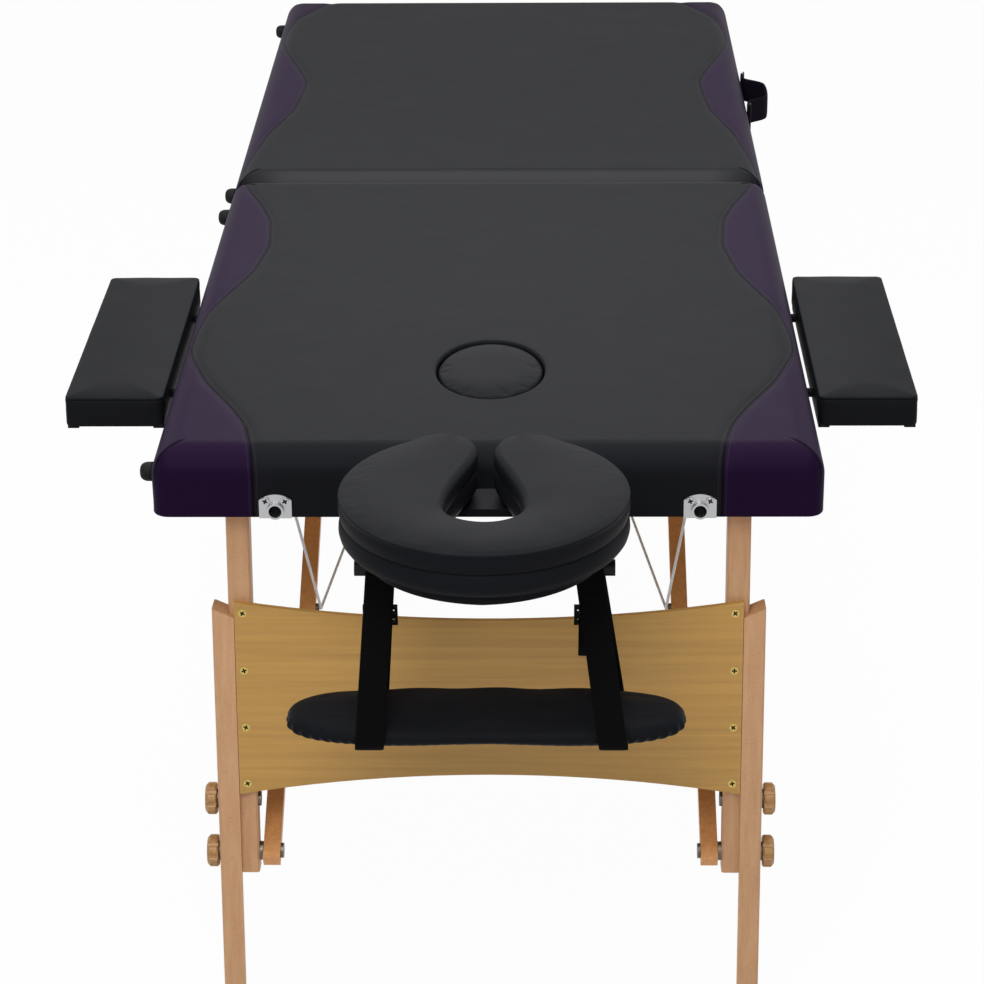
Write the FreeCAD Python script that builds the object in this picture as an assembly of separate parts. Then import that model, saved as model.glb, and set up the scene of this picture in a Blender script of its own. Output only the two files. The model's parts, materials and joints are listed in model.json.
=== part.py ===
import FreeCAD, Part
import math
import os

# Folding massage table, millimetres, +Z up, head end at -Y, standing on z = 0.
# Every piece is drawn with the fold at y = 0 and moved to the part's origin when it is saved.

# Table top
TABLE_LENGTH = 1860.0
TABLE_WIDTH = 680.0
TOP_HEIGHT = 650.0
PAD_THICKNESS = 30.0
DECK_THICKNESS = 4.0
RAIL_HEIGHT = 38.0
RAIL_THICKNESS = 20.0
COVER_THICKNESS = 3.5
CORNER_RADIUS = 18.0
FOLD_GAP = 2.0
SOFT_FIT = 0.3
BORE_FIT = 0.3
PAD_TUCK = 2.0
PAD_ROLL = 32.0
BULGE_LEVEL = 0.35
SHOULDER_LEVEL = 0.62
SHOULDER_SHARE = 0.08
ROLL_LEVEL = 0.88
ROLL_SHARE = 0.36

# Face hole and its plug
FACE_HOLE_FROM_END = 230.0
FACE_HOLE_WIDTH = 124.0
FACE_HOLE_LENGTH = 180.0
PLUG_GAP = 7.0
PLUG_LEDGE = 12.0
PLUG_CROWN = 3.0
PLUG_TUCK = 2.0
PLUG_ROLL = 18.0

# Fold hinges
FOLD_AXIS_DROP = 4.0
FOLD_HINGE_X = 220.0
FOLD_LEAF_WIDTH = 60.0
FOLD_LEAF_REACH = 28.0
FOLD_LEAF_THICKNESS = 2.5
KNUCKLE_RADIUS = 3.5
FOLD_PIN_RADIUS = 2.0
RUNNING_FIT = 0.05

# Leg sets
LEG_FROM_FOLD = 890.0
LEG_AXIS_UP = 20.5
LEG_SPLAY = 5.0
LEG_INNER_X = 244.0
FOOT_SET_INSET = 26.0
LEG_WIDTH = 24.0
LEG_DEPTH = 24.0
LEG_EDGE_EASE = 2.0
UPPER_LEG_LENGTH = 428.0
LOWER_LEG_TOP = 129.0
LOWER_LEG_THICKNESS = 16.0
LOWER_LEG_LIP = 6.0
LOWER_TOP_SLANT = 10.0
LEG_SIDE_FIT = 0.5
FOOT_PAD_HEIGHT = 8.0
FOOT_PAD_MARGIN = 1.0
BOLT_RADIUS = 4.0
LOWER_BOLT_DOWN = 408.0
BOLT_SPACING = 60.0
BOLT_HEAD_RADIUS = 8.0
BOLT_HEAD_THICKNESS = 3.0
HOLE_PITCH = 30.0
LOWEST_SHIFT = -30.0
HIGHEST_SHIFT = 150.0
WASHER_RADIUS = 10.0
WASHER_THICKNESS = 2.0
KNOB_RADIUS = 17.0
KNOB_THICKNESS = 12.0
KNOB_BORE_DEPTH = 9.0
KNOB_SCALLOPS = 8
KNOB_SCALLOP_RADIUS = 4.5
KNOB_SCALLOP_DEPTH = 1.6
KNOB_OUTER_EASE = 3.0
KNOB_INNER_EASE = 1.5

# Panel between the legs
PANEL_THICKNESS = 7.5
PANEL_TOP = 122.0
PANEL_BOTTOM = 335.0
PANEL_TOP_DIP = 20.0
PANEL_BOTTOM_RISE = 22.0
PANEL_SCREW_COUNT = 4
PANEL_SCREW_EDGE = 12.0
PANEL_SCREW_INSET = 9.0
SCREW_RADIUS = 2.0
SCREW_HEAD_RADIUS = 4.2
SCREW_LENGTH = 22.0

# Knee braces and cables
LINK_THICKNESS = 18.0
LINK_DEPTH = 14.0
LINK_AXIS_UP = 7.5
KNEE_DEPTH = 11.0
KNEE_BOLT_RADIUS = 3.0
LINK_GAP = 4.0
LINK_FROM_FOLD = 120.0
LINK_SQUARE_END = 14.0
KNEE_RECESS_DEPTH = 10.0
KNEE_HEAD_RADIUS = 5.0
BRACKET_WALL = 3.0
BRACKET_SIDE_FIT = 1.0
BRACKET_HALF_LENGTH = 14.0
BRACKET_EAR_RADIUS = 10.0
BRACKET_STRIP = 5.0
CABLE_RADIUS = 1.6
CABLE_EYE_BACK = 53.0
CABLE_EYE_RADIUS = 5.0
CABLE_EYE_THICKNESS = 4.0
CABLE_EYE_GAP = 0.5
CABLE_END_FROM_FOLD = 855.0
CABLE_END_X = 214.0
CABLE_MID_FROM_FOLD = 400.0
CABLE_MID_X = 70.0
CABLE_ANCHOR_RADIUS = 8.0
CABLE_ANCHOR_THICKNESS = 4.0

# Metal sockets on the head end
SOCKET_X = 214.0
SOCKET_UP = 9.0
SOCKET_RADIUS = 8.5
SOCKET_BORE = 6.5
SOCKET_LENGTH = 40.0
SOCKET_STAND_OUT = 5.0
SOCKET_PLATE_WIDTH = 33.0
SOCKET_PLATE_HEIGHT = 26.0
SOCKET_PLATE_THICKNESS = 2.0
SOCKET_SCREW_SPACING = 20.0
SOCKET_SCREW_UP = 10.0

# Headrest
HEADREST_GAP = 15.0
HEADREST_LENGTH = 312.0
HEADREST_WIDTH = 284.0
HEADREST_RISE = 28.0
HEADREST_TOP_LAYER = 22.0
HEADREST_LOW_LAYER = 28.0
HEADREST_BOARD = 8.0
HEADREST_BOARD_MARGIN = 28.0
KEYHOLE_RADIUS = 44.0
KEYHOLE_FRONT = 48.0
KEYHOLE_NECK = 10.0
KEYHOLE_NECK_BACK = 84.0
KEYHOLE_FLARE = 34.0
KEYHOLE_WAIST_BULGE = 1.25
KEYHOLE_TURN_SHARE = 0.3
KEYHOLE_LEVELS = ((0.4, 0.0), (0.75, 0.25))
KEYHOLE_LOW_SHARE = 0.5
HEADREST_TUCK = 3.0
HEADREST_ROLL = 10.0
TOP_SPREAD = 5.0
LOW_SPREAD = 2.0
LOW_LAYER_INSETS = ((16.0, 0.0), (4.0, 0.3), (0.5, 0.7), (3.0, 1.0))
BOARD_OPENING_BACK = 76.0
BOARD_OPENING_FRONT = 83.2
BOARD_OPENING_CORNER = 20.0
ROD_SPACING = 144.0
ROD_RADIUS = 7.0
ROD_INSERT = 65.0
ROD_UP = 19.0
BUSH_RADIUS = 9.0
BUSH_LENGTH = 62.0
TUBE_RADIUS = 8.0
TUBE_LENGTH = 250.0
TUBE_FROM_END = 165.0
CLAMP_SPACING = 80.0
CLAMP_WIDTH = 24.0
CLAMP_HALF_LENGTH = 16.0
CLAMP_BELOW = 4.0

# Arm shelf and straps
STRAP_X = 103.0
STRAP_WIDTH = 28.0
STRAP_THICKNESS = 2.0
SHELF_WIDTH = 390.0
SHELF_DEPTH = 110.0
SHELF_THICKNESS = 24.0
SHELF_TOP_DROP = 200.0
SHELF_NOTCH = 7.0
SHELF_TUCK = 5.0
SHELF_ROLL = 24.0
BUCKLE_WIDTH = 34.0
BUCKLE_HEIGHT = 24.0
BUCKLE_THICKNESS = 4.0
BUCKLE_SHARE = 0.45

# Armrests
ARMREST_LENGTH = 396.0
ARMREST_WIDTH = 104.0
ARMREST_GAP = 11.0
ARMREST_FROM_FOLD = 518.0
ARMREST_DROP = 24.0
ARMREST_PAD = 18.0
ARMREST_BOARD = 16.0
ARMREST_BATTEN_WIDTH = 12.0
ARMREST_BATTEN_HEIGHT = 5.0
ARMREST_ROD_RADIUS = 5.0
ARMREST_ROD_SPACING = 240.0
ARMREST_ROD_INSERT = 50.0
ARMREST_CORNER = 8.0
ARMREST_TUCK = 1.0
ARMREST_ROLL = 12.0

# Bumpers and carry handle
BUMPER_RADIUS = 10.0
BUMPER_LENGTH = 15.0
BUMPER_EASE = 4.0
BUMPER_DROP = 40.0
BUMPER_FROM_END = 45.0
HANDLE_FROM_FOLD = 465.0
HANDLE_SPAN = 130.0
HANDLE_REACH = 40.0
HANDLE_WIDTH = 38.0
HANDLE_THICKNESS = 3.0
HANDLE_TAB = 22.0
HANDLE_DROP = 33.0
HANDLE_PLATE_THICKNESS = 2.0

# Levels and places worked out from the sizes above
HALF_LENGTH = TABLE_LENGTH / 2
HALF_WIDTH = TABLE_WIDTH / 2
UNDER_Z = TOP_HEIGHT - PAD_THICKNESS - DECK_THICKNESS - RAIL_HEIGHT
DECK_Z = UNDER_Z + RAIL_HEIGHT
PAD_Z = DECK_Z + DECK_THICKNESS
COVER_INSET = COVER_THICKNESS + SOFT_FIT
FRAME_X = HALF_WIDTH - COVER_INSET
FRAME_END_Y = -(HALF_LENGTH - COVER_INSET)
FRAME_FOLD_Y = -(FOLD_GAP + COVER_INSET)
FOLD_AXIS_Z = UNDER_Z - FOLD_AXIS_DROP
LEG_AXIS_Z = UNDER_Z + LEG_AXIS_UP
SPLAY = math.radians(LEG_SPLAY)
LEG_DIR = FreeCAD.Vector(0, -math.sin(SPLAY), -math.cos(SPLAY))
LEG_AXIS = FreeCAD.Vector(0, -LEG_FROM_FOLD, LEG_AXIS_Z)
LINK_AXIS = FreeCAD.Vector(0, -LINK_FROM_FOLD, LEG_AXIS_Z + LINK_AXIS_UP)
BOLT_DOWNS = (LOWER_BOLT_DOWN - BOLT_SPACING, LOWER_BOLT_DOWN)
BRACE_FOOT = LEG_AXIS + LEG_DIR * LOWER_BOLT_DOWN
BRACE_LENGTH = (BRACE_FOOT - LINK_AXIS).Length
FOLDED_REACH = LEG_FROM_FOLD - LOWER_BOLT_DOWN - LINK_FROM_FOLD
FOLDED_SQUARE = FOLDED_REACH ** 2 + LINK_AXIS_UP ** 2
UPPER_LINK_LENGTH = (BRACE_LENGTH ** 2 - FOLDED_SQUARE) / (2 * (BRACE_LENGTH - FOLDED_REACH))
BRACE_DIR = (BRACE_FOOT - LINK_AXIS).normalize()
KNEE = LINK_AXIS + BRACE_DIR * UPPER_LINK_LENGTH
HEADREST_REAR_Y = -(HALF_LENGTH + HEADREST_GAP)
HEADREST_Y = HEADREST_REAR_Y - HEADREST_LENGTH / 2
HEADREST_TOP_Z = TOP_HEIGHT + HEADREST_RISE
HEADREST_SEAM_Z = HEADREST_TOP_Z - HEADREST_TOP_LAYER
HEADREST_LOW_Z = HEADREST_SEAM_Z - HEADREST_LOW_LAYER
TUBE_Y = -(HALF_LENGTH + TUBE_FROM_END)
TUBE_Z = UNDER_Z + ROD_UP
FACE_HOLE_Y = -(HALF_LENGTH - FACE_HOLE_FROM_END)
SHELF_TOP_Z = TOP_HEIGHT - SHELF_TOP_DROP
ARMREST_IN_X = HALF_WIDTH + ARMREST_GAP
ARMREST_BOARD_Z = TOP_HEIGHT - ARMREST_DROP - ARMREST_PAD - ARMREST_BOARD
ARMREST_ROD_Z = ARMREST_BOARD_Z + ARMREST_BOARD / 2
HANDLE_X = HALF_WIDTH + SOFT_FIT
HEADREST_FRONT_Y = HEADREST_REAR_Y - HEADREST_LENGTH
LEG_FRONT = LEG_DEPTH / 2 + PANEL_THICKNESS
FOOT_REACH = LEG_FROM_FOLD + LEG_AXIS_Z * math.tan(SPLAY) + (LEG_FRONT + FOOT_PAD_MARGIN) / math.cos(SPLAY)
ORIGIN_Y = (HEADREST_FRONT_Y + max(HALF_LENGTH, FOOT_REACH)) / 2

X_AXIS = FreeCAD.Vector(1, 0, 0)
Y_AXIS = FreeCAD.Vector(0, 1, 0)


def vec(x, y, z):
    return FreeCAD.Vector(x, y, z)


def box(x0, x1, y0, y1, z0, z1):
    return Part.makeBox(x1 - x0, y1 - y0, z1 - z0, vec(x0, y0, z0))


def rod(start, end, radius):
    """A cylinder between two points."""
    along = end - start
    return Part.makeCylinder(radius, along.Length, start, along)


def rod_x(x0, x1, y, z, radius):
    return rod(vec(x0, y, z), vec(x1, y, z), radius)


def rod_y(y0, y1, x, z, radius):
    return rod(vec(x, y0, z), vec(x, y1, z), radius)


def mirror_x(shape):
    return shape.mirror(vec(0, 0, 0), X_AXIS)


def mirror_y(shape):
    return shape.mirror(vec(0, 0, 0), Y_AXIS)


def both_sides(shape):
    """The piece on the right side and its mirror image on the left."""
    return [shape, mirror_x(shape)]


def line(start, end):
    return Part.LineSegment(start, end).toShape()


def arc(start, middle, end):
    return Part.Arc(start, middle, end).toShape()


def polygon(points):
    return Part.makePolygon(points + [points[0]])


def prism(wire, along):
    return Part.Face(wire).extrude(along)


def rounded_rectangle(x0, x1, y0, y1, z, radius):
    """A closed outline of four lines and four quarter arcs at height z."""
    bulge = radius * (1 - math.sqrt(0.5))
    edges = [
        line(vec(x0 + radius, y0, z), vec(x1 - radius, y0, z)),
        arc(vec(x1 - radius, y0, z), vec(x1 - bulge, y0 + bulge, z), vec(x1, y0 + radius, z)),
        line(vec(x1, y0 + radius, z), vec(x1, y1 - radius, z)),
        arc(vec(x1, y1 - radius, z), vec(x1 - bulge, y1 - bulge, z), vec(x1 - radius, y1, z)),
        line(vec(x1 - radius, y1, z), vec(x0 + radius, y1, z)),
        arc(vec(x0 + radius, y1, z), vec(x0 + bulge, y1 - bulge, z), vec(x0, y1 - radius, z)),
        line(vec(x0, y1 - radius, z), vec(x0, y0 + radius, z)),
        arc(vec(x0, y0 + radius, z), vec(x0 + bulge, y0 + bulge, z), vec(x0 + radius, y0, z)),
    ]
    return Part.Wire(edges)


def oval(cx, cy, z, half_x, half_y):
    """A closed outline of four arcs that follows an ellipse."""
    root = math.sqrt(0.5)
    corners = [vec(cx + half_x, cy, z), vec(cx, cy + half_y, z),
               vec(cx - half_x, cy, z), vec(cx, cy - half_y, z)]
    turns = ((root, root), (-root, root), (-root, -root), (root, -root))
    edges = []
    for index, (tx, ty) in enumerate(turns):
        middle = vec(cx + half_x * tx, cy + half_y * ty, z)
        edges.append(arc(corners[index], middle, corners[(index + 1) % 4]))
    return Part.Wire(edges)


def ease_edges(shape, size, chosen):
    """Chamfer the edges whose middle point passes the test."""
    edges = [edge for edge in shape.Edges if chosen(edge.BoundBox.Center)]
    return shape.makeChamfer(size, edges)


def cushion(outline, sections):
    """A ruled loft through outline(inset, z) for each (inset, z): drawn in below, crowned above."""
    return Part.makeLoft([outline(inset, z) for inset, z in sections], True, True)


def crown_sections(z0, z1, tuck, roll):
    """Insets for a cushion from z0 to z1: tucked in at the bottom, rolled over at the top edge."""
    height = z1 - z0
    shoulder = (SHOULDER_SHARE * roll, z0 + SHOULDER_LEVEL * height)
    rolled = (ROLL_SHARE * roll, z0 + ROLL_LEVEL * height)
    return ((tuck, z0), (0.0, z0 + BULGE_LEVEL * height), shoulder, rolled, (roll, z1))


def half_outline(inset, z):
    """The head half's pad outline, drawn in on all sides by inset."""
    return rounded_rectangle(-HALF_WIDTH + inset, HALF_WIDTH - inset, -HALF_LENGTH + inset,
                             -FOLD_GAP - inset, z, CORNER_RADIUS)


def frame_outline_prism(z0, z1):
    radius = CORNER_RADIUS - COVER_INSET
    wire = rounded_rectangle(-FRAME_X, FRAME_X, FRAME_END_Y, FRAME_FOLD_Y, z0, radius)
    return prism(wire, vec(0, 0, z1 - z0))


def place_leg(shape):
    """Leg pieces are drawn upright below the leg hinge, then splayed and moved to the hinge."""
    placed = shape.copy()
    placed.rotate(vec(0, 0, 0), X_AXIS, -LEG_SPLAY)
    placed.translate(LEG_AXIS)
    return placed


# Frame, deck, pad and cover of a half

def side_rail_right():
    rail = box(FRAME_X - RAIL_THICKNESS, FRAME_X, FRAME_END_Y, FRAME_FOLD_Y, UNDER_Z, DECK_Z)
    return rail.common(frame_outline_prism(UNDER_Z, DECK_Z))


def cross_rail(y0):
    half = FRAME_X - RAIL_THICKNESS
    return box(-half, half, y0, y0 + RAIL_THICKNESS, UNDER_Z, DECK_Z)


def deck():
    return frame_outline_prism(DECK_Z, PAD_Z)


def pad():
    return cushion(half_outline, crown_sections(PAD_Z, TOP_HEIGHT, PAD_TUCK, PAD_ROLL))


def skirt():
    height = vec(0, 0, PAD_Z - SOFT_FIT - UNDER_Z)
    outer = prism(half_outline(0.0, UNDER_Z), height)
    radius = CORNER_RADIUS - COVER_THICKNESS
    inner_x = HALF_WIDTH - COVER_THICKNESS
    inner = rounded_rectangle(-inner_x, inner_x, -HALF_LENGTH + COVER_THICKNESS,
                              -FOLD_GAP - COVER_THICKNESS, UNDER_Z, radius)
    return outer.cut(prism(inner, height))


def face_hole(z0, z1, shrink):
    wire = oval(0, FACE_HOLE_Y, z0, FACE_HOLE_WIDTH / 2 - shrink, FACE_HOLE_LENGTH / 2 - shrink)
    return prism(wire, vec(0, 0, z1 - z0))


def face_plug():
    def outline(inset, z):
        return oval(0, FACE_HOLE_Y, z, FACE_HOLE_WIDTH / 2 - PLUG_GAP - inset,
                    FACE_HOLE_LENGTH / 2 - PLUG_GAP - inset)
    return cushion(outline, crown_sections(PAD_Z, TOP_HEIGHT + PLUG_CROWN, PLUG_TUCK, PLUG_ROLL))


def socket_holes():
    y0 = -HALF_LENGTH
    z = UNDER_Z + SOCKET_UP
    return [rod_y(y0, y0 + SOCKET_LENGTH, x, z, SOCKET_RADIUS + BORE_FIT) for x in (-SOCKET_X, SOCKET_X)]


def rod_holes(radius):
    places = (-ROD_SPACING / 2, ROD_SPACING / 2)
    return [rod_y(-HALF_LENGTH, -HALF_LENGTH + BUSH_LENGTH, x, TUBE_Z, radius) for x in places]


def armrest_rod_ys():
    middle = -ARMREST_FROM_FOLD
    return (middle - ARMREST_ROD_SPACING / 2, middle + ARMREST_ROD_SPACING / 2)


def armrest_holes():
    holes = []
    for y in armrest_rod_ys():
        holes.append(rod_x(-HALF_WIDTH, HALF_WIDTH, y, ARMREST_ROD_Z, ARMREST_ROD_RADIUS + BORE_FIT))
    return holes


def cut_all(shape, tools):
    for tool in tools:
        shape = shape.cut(tool)
    return shape


# Fold hinges

def knuckle_spans(middle):
    """The stretches along X of the middle knuckle, or of the two outer ones, of one hinge."""
    third = FOLD_LEAF_WIDTH / 3
    left = FOLD_HINGE_X - FOLD_LEAF_WIDTH / 2
    if middle:
        return [(left + third + SOFT_FIT, left + 2 * third - SOFT_FIT)]
    return [(left, left + third), (left + 2 * third, left + FOLD_LEAF_WIDTH)]


def fold_leaf(middle):
    """A hinge leaf under the head half's fold rail, with its own knuckles and room for the other's."""
    left = FOLD_HINGE_X - FOLD_LEAF_WIDTH / 2
    leaf = box(left, left + FOLD_LEAF_WIDTH, -FOLD_LEAF_REACH, 0, UNDER_Z - FOLD_LEAF_THICKNESS, UNDER_Z)
    clear = KNUCKLE_RADIUS + 2 * SOFT_FIT
    for start, end in knuckle_spans(not middle):
        leaf = leaf.cut(rod_x(start - SOFT_FIT, end + SOFT_FIT, 0, FOLD_AXIS_Z, clear))
    for start, end in knuckle_spans(middle):
        leaf = leaf.fuse(rod_x(start, end, 0, FOLD_AXIS_Z, KNUCKLE_RADIUS))
    if middle:
        for start, end in knuckle_spans(False):
            leaf = leaf.cut(box(start - SOFT_FIT, end + SOFT_FIT, -clear, 0, FOLD_AXIS_Z, UNDER_Z))
    bore = FOLD_PIN_RADIUS + (RUNNING_FIT if middle else 0)
    leaf = leaf.cut(rod_x(left, left + FOLD_LEAF_WIDTH, 0, FOLD_AXIS_Z, bore))
    return leaf.removeSplitter()


def fold_pin():
    left = FOLD_HINGE_X - FOLD_LEAF_WIDTH / 2
    return rod_x(left, left + FOLD_LEAF_WIDTH, 0, FOLD_AXIS_Z, FOLD_PIN_RADIUS)


# Leg sets, drawn for the head half with their inner face at inner_x

def leg_outer_x(inner_x):
    """Outer face of the lower leg."""
    return inner_x + LEG_WIDTH + LEG_SIDE_FIT + LOWER_LEG_THICKNESS


def lip_inner_x(inner_x):
    return inner_x + LEG_WIDTH - LOWER_LEG_LIP


def bracket(inner_x, width, axis_y, axis_z):
    """A folded plate under the deck with two ears for a bolt along X, slotted over the bar between them."""
    low = inner_x - BRACKET_SIDE_FIT - BRACKET_WALL
    high = inner_x + width + BRACKET_SIDE_FIT + BRACKET_WALL
    y0, y1 = axis_y - BRACKET_HALF_LENGTH, axis_y + BRACKET_HALF_LENGTH
    plate = box(low, high, y0, y1, DECK_Z - BRACKET_WALL, DECK_Z)
    slot = box(low + BRACKET_WALL, high - BRACKET_WALL, y0, y1 - BRACKET_STRIP, DECK_Z - BRACKET_WALL, DECK_Z)
    plate = plate.cut(slot)
    for x in (low, high - BRACKET_WALL):
        ear = box(x, x + BRACKET_WALL, axis_y - BRACKET_EAR_RADIUS, axis_y + BRACKET_EAR_RADIUS,
                  axis_z, DECK_Z)
        tip = rod_x(x, x + BRACKET_WALL, axis_y, axis_z, BRACKET_EAR_RADIUS)
        tip = tip.common(box(low, high, y0, y1, UNDER_Z, DECK_Z))
        plate = plate.fuse([ear, tip])
    plate = plate.cut(rod_x(low, high, axis_y, axis_z, BOLT_RADIUS))
    return plate.removeSplitter()


def bracket_bolt(inner_x, width, axis_y, axis_z):
    low = inner_x - BRACKET_SIDE_FIT - BRACKET_WALL
    high = inner_x + width + BRACKET_SIDE_FIT + BRACKET_WALL
    shank = rod_x(low, high, axis_y, axis_z, BOLT_RADIUS)
    heads = [rod_x(low - BOLT_HEAD_THICKNESS, low, axis_y, axis_z, BOLT_HEAD_RADIUS),
             rod_x(high, high + BOLT_HEAD_THICKNESS, axis_y, axis_z, BOLT_HEAD_RADIUS)]
    return shank.fuse(heads)


def upper_leg(inner_x):
    outer_x = inner_x + LEG_WIDTH
    half = LEG_DEPTH / 2
    leg = box(inner_x, outer_x, -half, half, -UPPER_LEG_LENGTH, 0)
    leg = leg.fuse(rod_x(inner_x, outer_x, 0, 0, half)).removeSplitter()
    leg = ease_edges(leg, LEG_EDGE_EASE,
                     lambda middle: half - abs(middle.y) < SOFT_FIT and -UPPER_LEG_LENGTH < middle.z < -half)
    for down in (0.0,) + BOLT_DOWNS:
        leg = leg.cut(rod_x(inner_x, outer_x, 0, -down, BOLT_RADIUS + BORE_FIT))
    return cut_all(leg, panel_screws_right(inner_x, BORE_FIT))


def panel(inner_x):
    """Ply panel on the front faces of both upper legs, its long edges drawn in by arcs."""
    half = lip_inner_x(inner_x) - LEG_SIDE_FIT
    y = -LEG_DEPTH / 2
    top_left, top_right = vec(-half, y, -PANEL_TOP), vec(half, y, -PANEL_TOP)
    low_left, low_right = vec(-half, y, -PANEL_BOTTOM), vec(half, y, -PANEL_BOTTOM)
    edges = [
        arc(top_left, vec(0, y, -PANEL_TOP - PANEL_TOP_DIP), top_right),
        line(top_right, low_right),
        arc(low_right, vec(0, y, -PANEL_BOTTOM + PANEL_BOTTOM_RISE), low_left),
        line(low_left, top_left),
    ]
    board = prism(Part.Wire(edges), vec(0, -PANEL_THICKNESS, 0))
    screws = panel_screws_right(inner_x, BORE_FIT)
    return cut_all(board, screws + [mirror_x(screw) for screw in screws])


def panel_screws_right(inner_x, grow):
    """Countersunk screws through the panel into the right upper leg."""
    x = lip_inner_x(inner_x) - PANEL_SCREW_INSET
    front = -LEG_DEPTH / 2 - PANEL_THICKNESS
    step = (PANEL_BOTTOM - PANEL_TOP - 2 * PANEL_SCREW_EDGE) / (PANEL_SCREW_COUNT - 1)
    screws = []
    for index in range(PANEL_SCREW_COUNT):
        z = -PANEL_TOP - PANEL_SCREW_EDGE - index * step
        taper = SCREW_HEAD_RADIUS - SCREW_RADIUS
        head = Part.makeCone(SCREW_HEAD_RADIUS + grow, SCREW_RADIUS + grow, taper, vec(x, front, z), Y_AXIS)
        shank = rod(vec(x, front + taper, z), vec(x, front + SCREW_LENGTH + grow, z), SCREW_RADIUS + grow)
        screws.append(head.fuse(shank))
    return screws


def leg_bolts_right(inner_x):
    """Two bolts per leg, with the lower one also holding the brace's lower link."""
    tip_x = leg_outer_x(inner_x) + SOFT_FIT + WASHER_THICKNESS + SOFT_FIT + KNOB_BORE_DEPTH - SOFT_FIT
    link_in = inner_x - LINK_GAP - LINK_THICKNESS
    bolts = []
    for down, start in zip(BOLT_DOWNS, (inner_x, link_in - BORE_FIT)):
        shank = rod_x(start, tip_x, 0, -down, BOLT_RADIUS)
        head = rod_x(start - BOLT_HEAD_THICKNESS, start, 0, -down, BOLT_HEAD_RADIUS)
        bolts.append(head.fuse(shank))
    return bolts


def washers_right(inner_x):
    x0 = leg_outer_x(inner_x) + SOFT_FIT
    rings = []
    for down in BOLT_DOWNS:
        disc = rod_x(x0, x0 + WASHER_THICKNESS, 0, -down, WASHER_RADIUS)
        rings.append(disc.cut(rod_x(x0, x0 + WASHER_THICKNESS, 0, -down, BOLT_RADIUS)))
    x1 = inner_x - LINK_GAP + BORE_FIT
    spacer = rod_x(x1, inner_x, 0, -LOWER_BOLT_DOWN, WASHER_RADIUS)
    rings.append(spacer.cut(rod_x(x1, inner_x, 0, -LOWER_BOLT_DOWN, BOLT_RADIUS)))
    return rings


def knob(inner_x, down):
    """A turned wooden disc with scallops round its rim and a blind bore for the bolt."""
    x0 = leg_outer_x(inner_x) + SOFT_FIT + WASHER_THICKNESS + SOFT_FIT
    x1 = x0 + KNOB_THICKNESS
    disc = rod_x(x0, x1, 0, -down, KNOB_RADIUS)
    disc = ease_edges(disc, KNOB_OUTER_EASE, lambda middle: x1 - middle.x < SOFT_FIT)
    disc = ease_edges(disc, KNOB_INNER_EASE, lambda middle: middle.x - x0 < SOFT_FIT)
    reach = KNOB_RADIUS + KNOB_SCALLOP_RADIUS - KNOB_SCALLOP_DEPTH
    for index in range(KNOB_SCALLOPS):
        turn = 2 * math.pi * index / KNOB_SCALLOPS
        y = reach * math.cos(turn)
        z = -down + reach * math.sin(turn)
        disc = disc.cut(rod_x(x0, x1, y, z, KNOB_SCALLOP_RADIUS))
    return disc.cut(rod_x(x0, x0 + KNOB_BORE_DEPTH, 0, -down, BOLT_RADIUS + BORE_FIT))


def lower_leg_outline(inner_x, grow):
    """Plan of the lower leg: a bar beside the upper leg with a lip that laps its front face."""
    lip_x = lip_inner_x(inner_x)
    bar_x = inner_x + LEG_WIDTH + LEG_SIDE_FIT
    outer_x = leg_outer_x(inner_x) + grow
    half = LEG_DEPTH / 2
    front = -half - PANEL_THICKNESS
    if grow:
        return [vec(lip_x - grow, front - grow, 0), vec(outer_x, front - grow, 0),
                vec(outer_x, half + grow, 0), vec(lip_x - grow, half + grow, 0)]
    return [vec(lip_x, front, 0), vec(outer_x, front, 0), vec(outer_x, half, 0),
            vec(bar_x, half, 0), vec(bar_x, -half - BORE_FIT, 0), vec(lip_x, -half - BORE_FIT, 0)]


def lower_leg_bar(inner_x, grow):
    """The lower leg's full bar, placed, before its foot is cut level."""
    reach = LEG_AXIS_Z / math.cos(SPLAY) + LEG_DEPTH
    bar = prism(polygon(lower_leg_outline(inner_x, grow)), vec(0, 0, -reach))
    outer_x = leg_outer_x(inner_x) + grow
    bar = ease_edges(bar, LEG_EDGE_EASE,
                     lambda middle: outer_x - middle.x < SOFT_FIT and -reach < middle.z < 0)
    low, high = lip_inner_x(inner_x) - LEG_WIDTH, leg_outer_x(inner_x) + LEG_WIDTH
    bar = bar.cut(box(low, high, -LEG_DEPTH * 2, LEG_DEPTH * 2, -LOWER_LEG_TOP, 1))
    if not grow:
        slant = [vec(leg_outer_x(inner_x), 0, -LOWER_LEG_TOP), vec(lip_inner_x(inner_x), 0, -LOWER_LEG_TOP),
                 vec(lip_inner_x(inner_x), 0, -LOWER_LEG_TOP - LOWER_TOP_SLANT)]
        wedge = prism(polygon(slant), vec(0, LEG_DEPTH * 4, 0))
        wedge.translate(vec(0, -LEG_DEPTH * 2, 0))
        bar = bar.cut(wedge)
        first = BOLT_DOWNS[0] - HIGHEST_SHIFT
        count = int(round((BOLT_DOWNS[1] - LOWEST_SHIFT - first) / HOLE_PITCH)) + 1
        for index in range(count):
            down = first + index * HOLE_PITCH
            bar = bar.cut(rod_x(low, high, 0, -down, BOLT_RADIUS + BORE_FIT))
    return place_leg(bar)


def above_floor(z0, z1):
    reach = TABLE_LENGTH
    return box(-reach, reach, -reach, reach, z0, z1)


def lower_leg(inner_x):
    return lower_leg_bar(inner_x, 0.0).common(above_floor(FOOT_PAD_HEIGHT, TOP_HEIGHT))


def foot_pad(inner_x):
    return lower_leg_bar(inner_x, FOOT_PAD_MARGIN).common(above_floor(0.0, FOOT_PAD_HEIGHT))


# Knee braces

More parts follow.
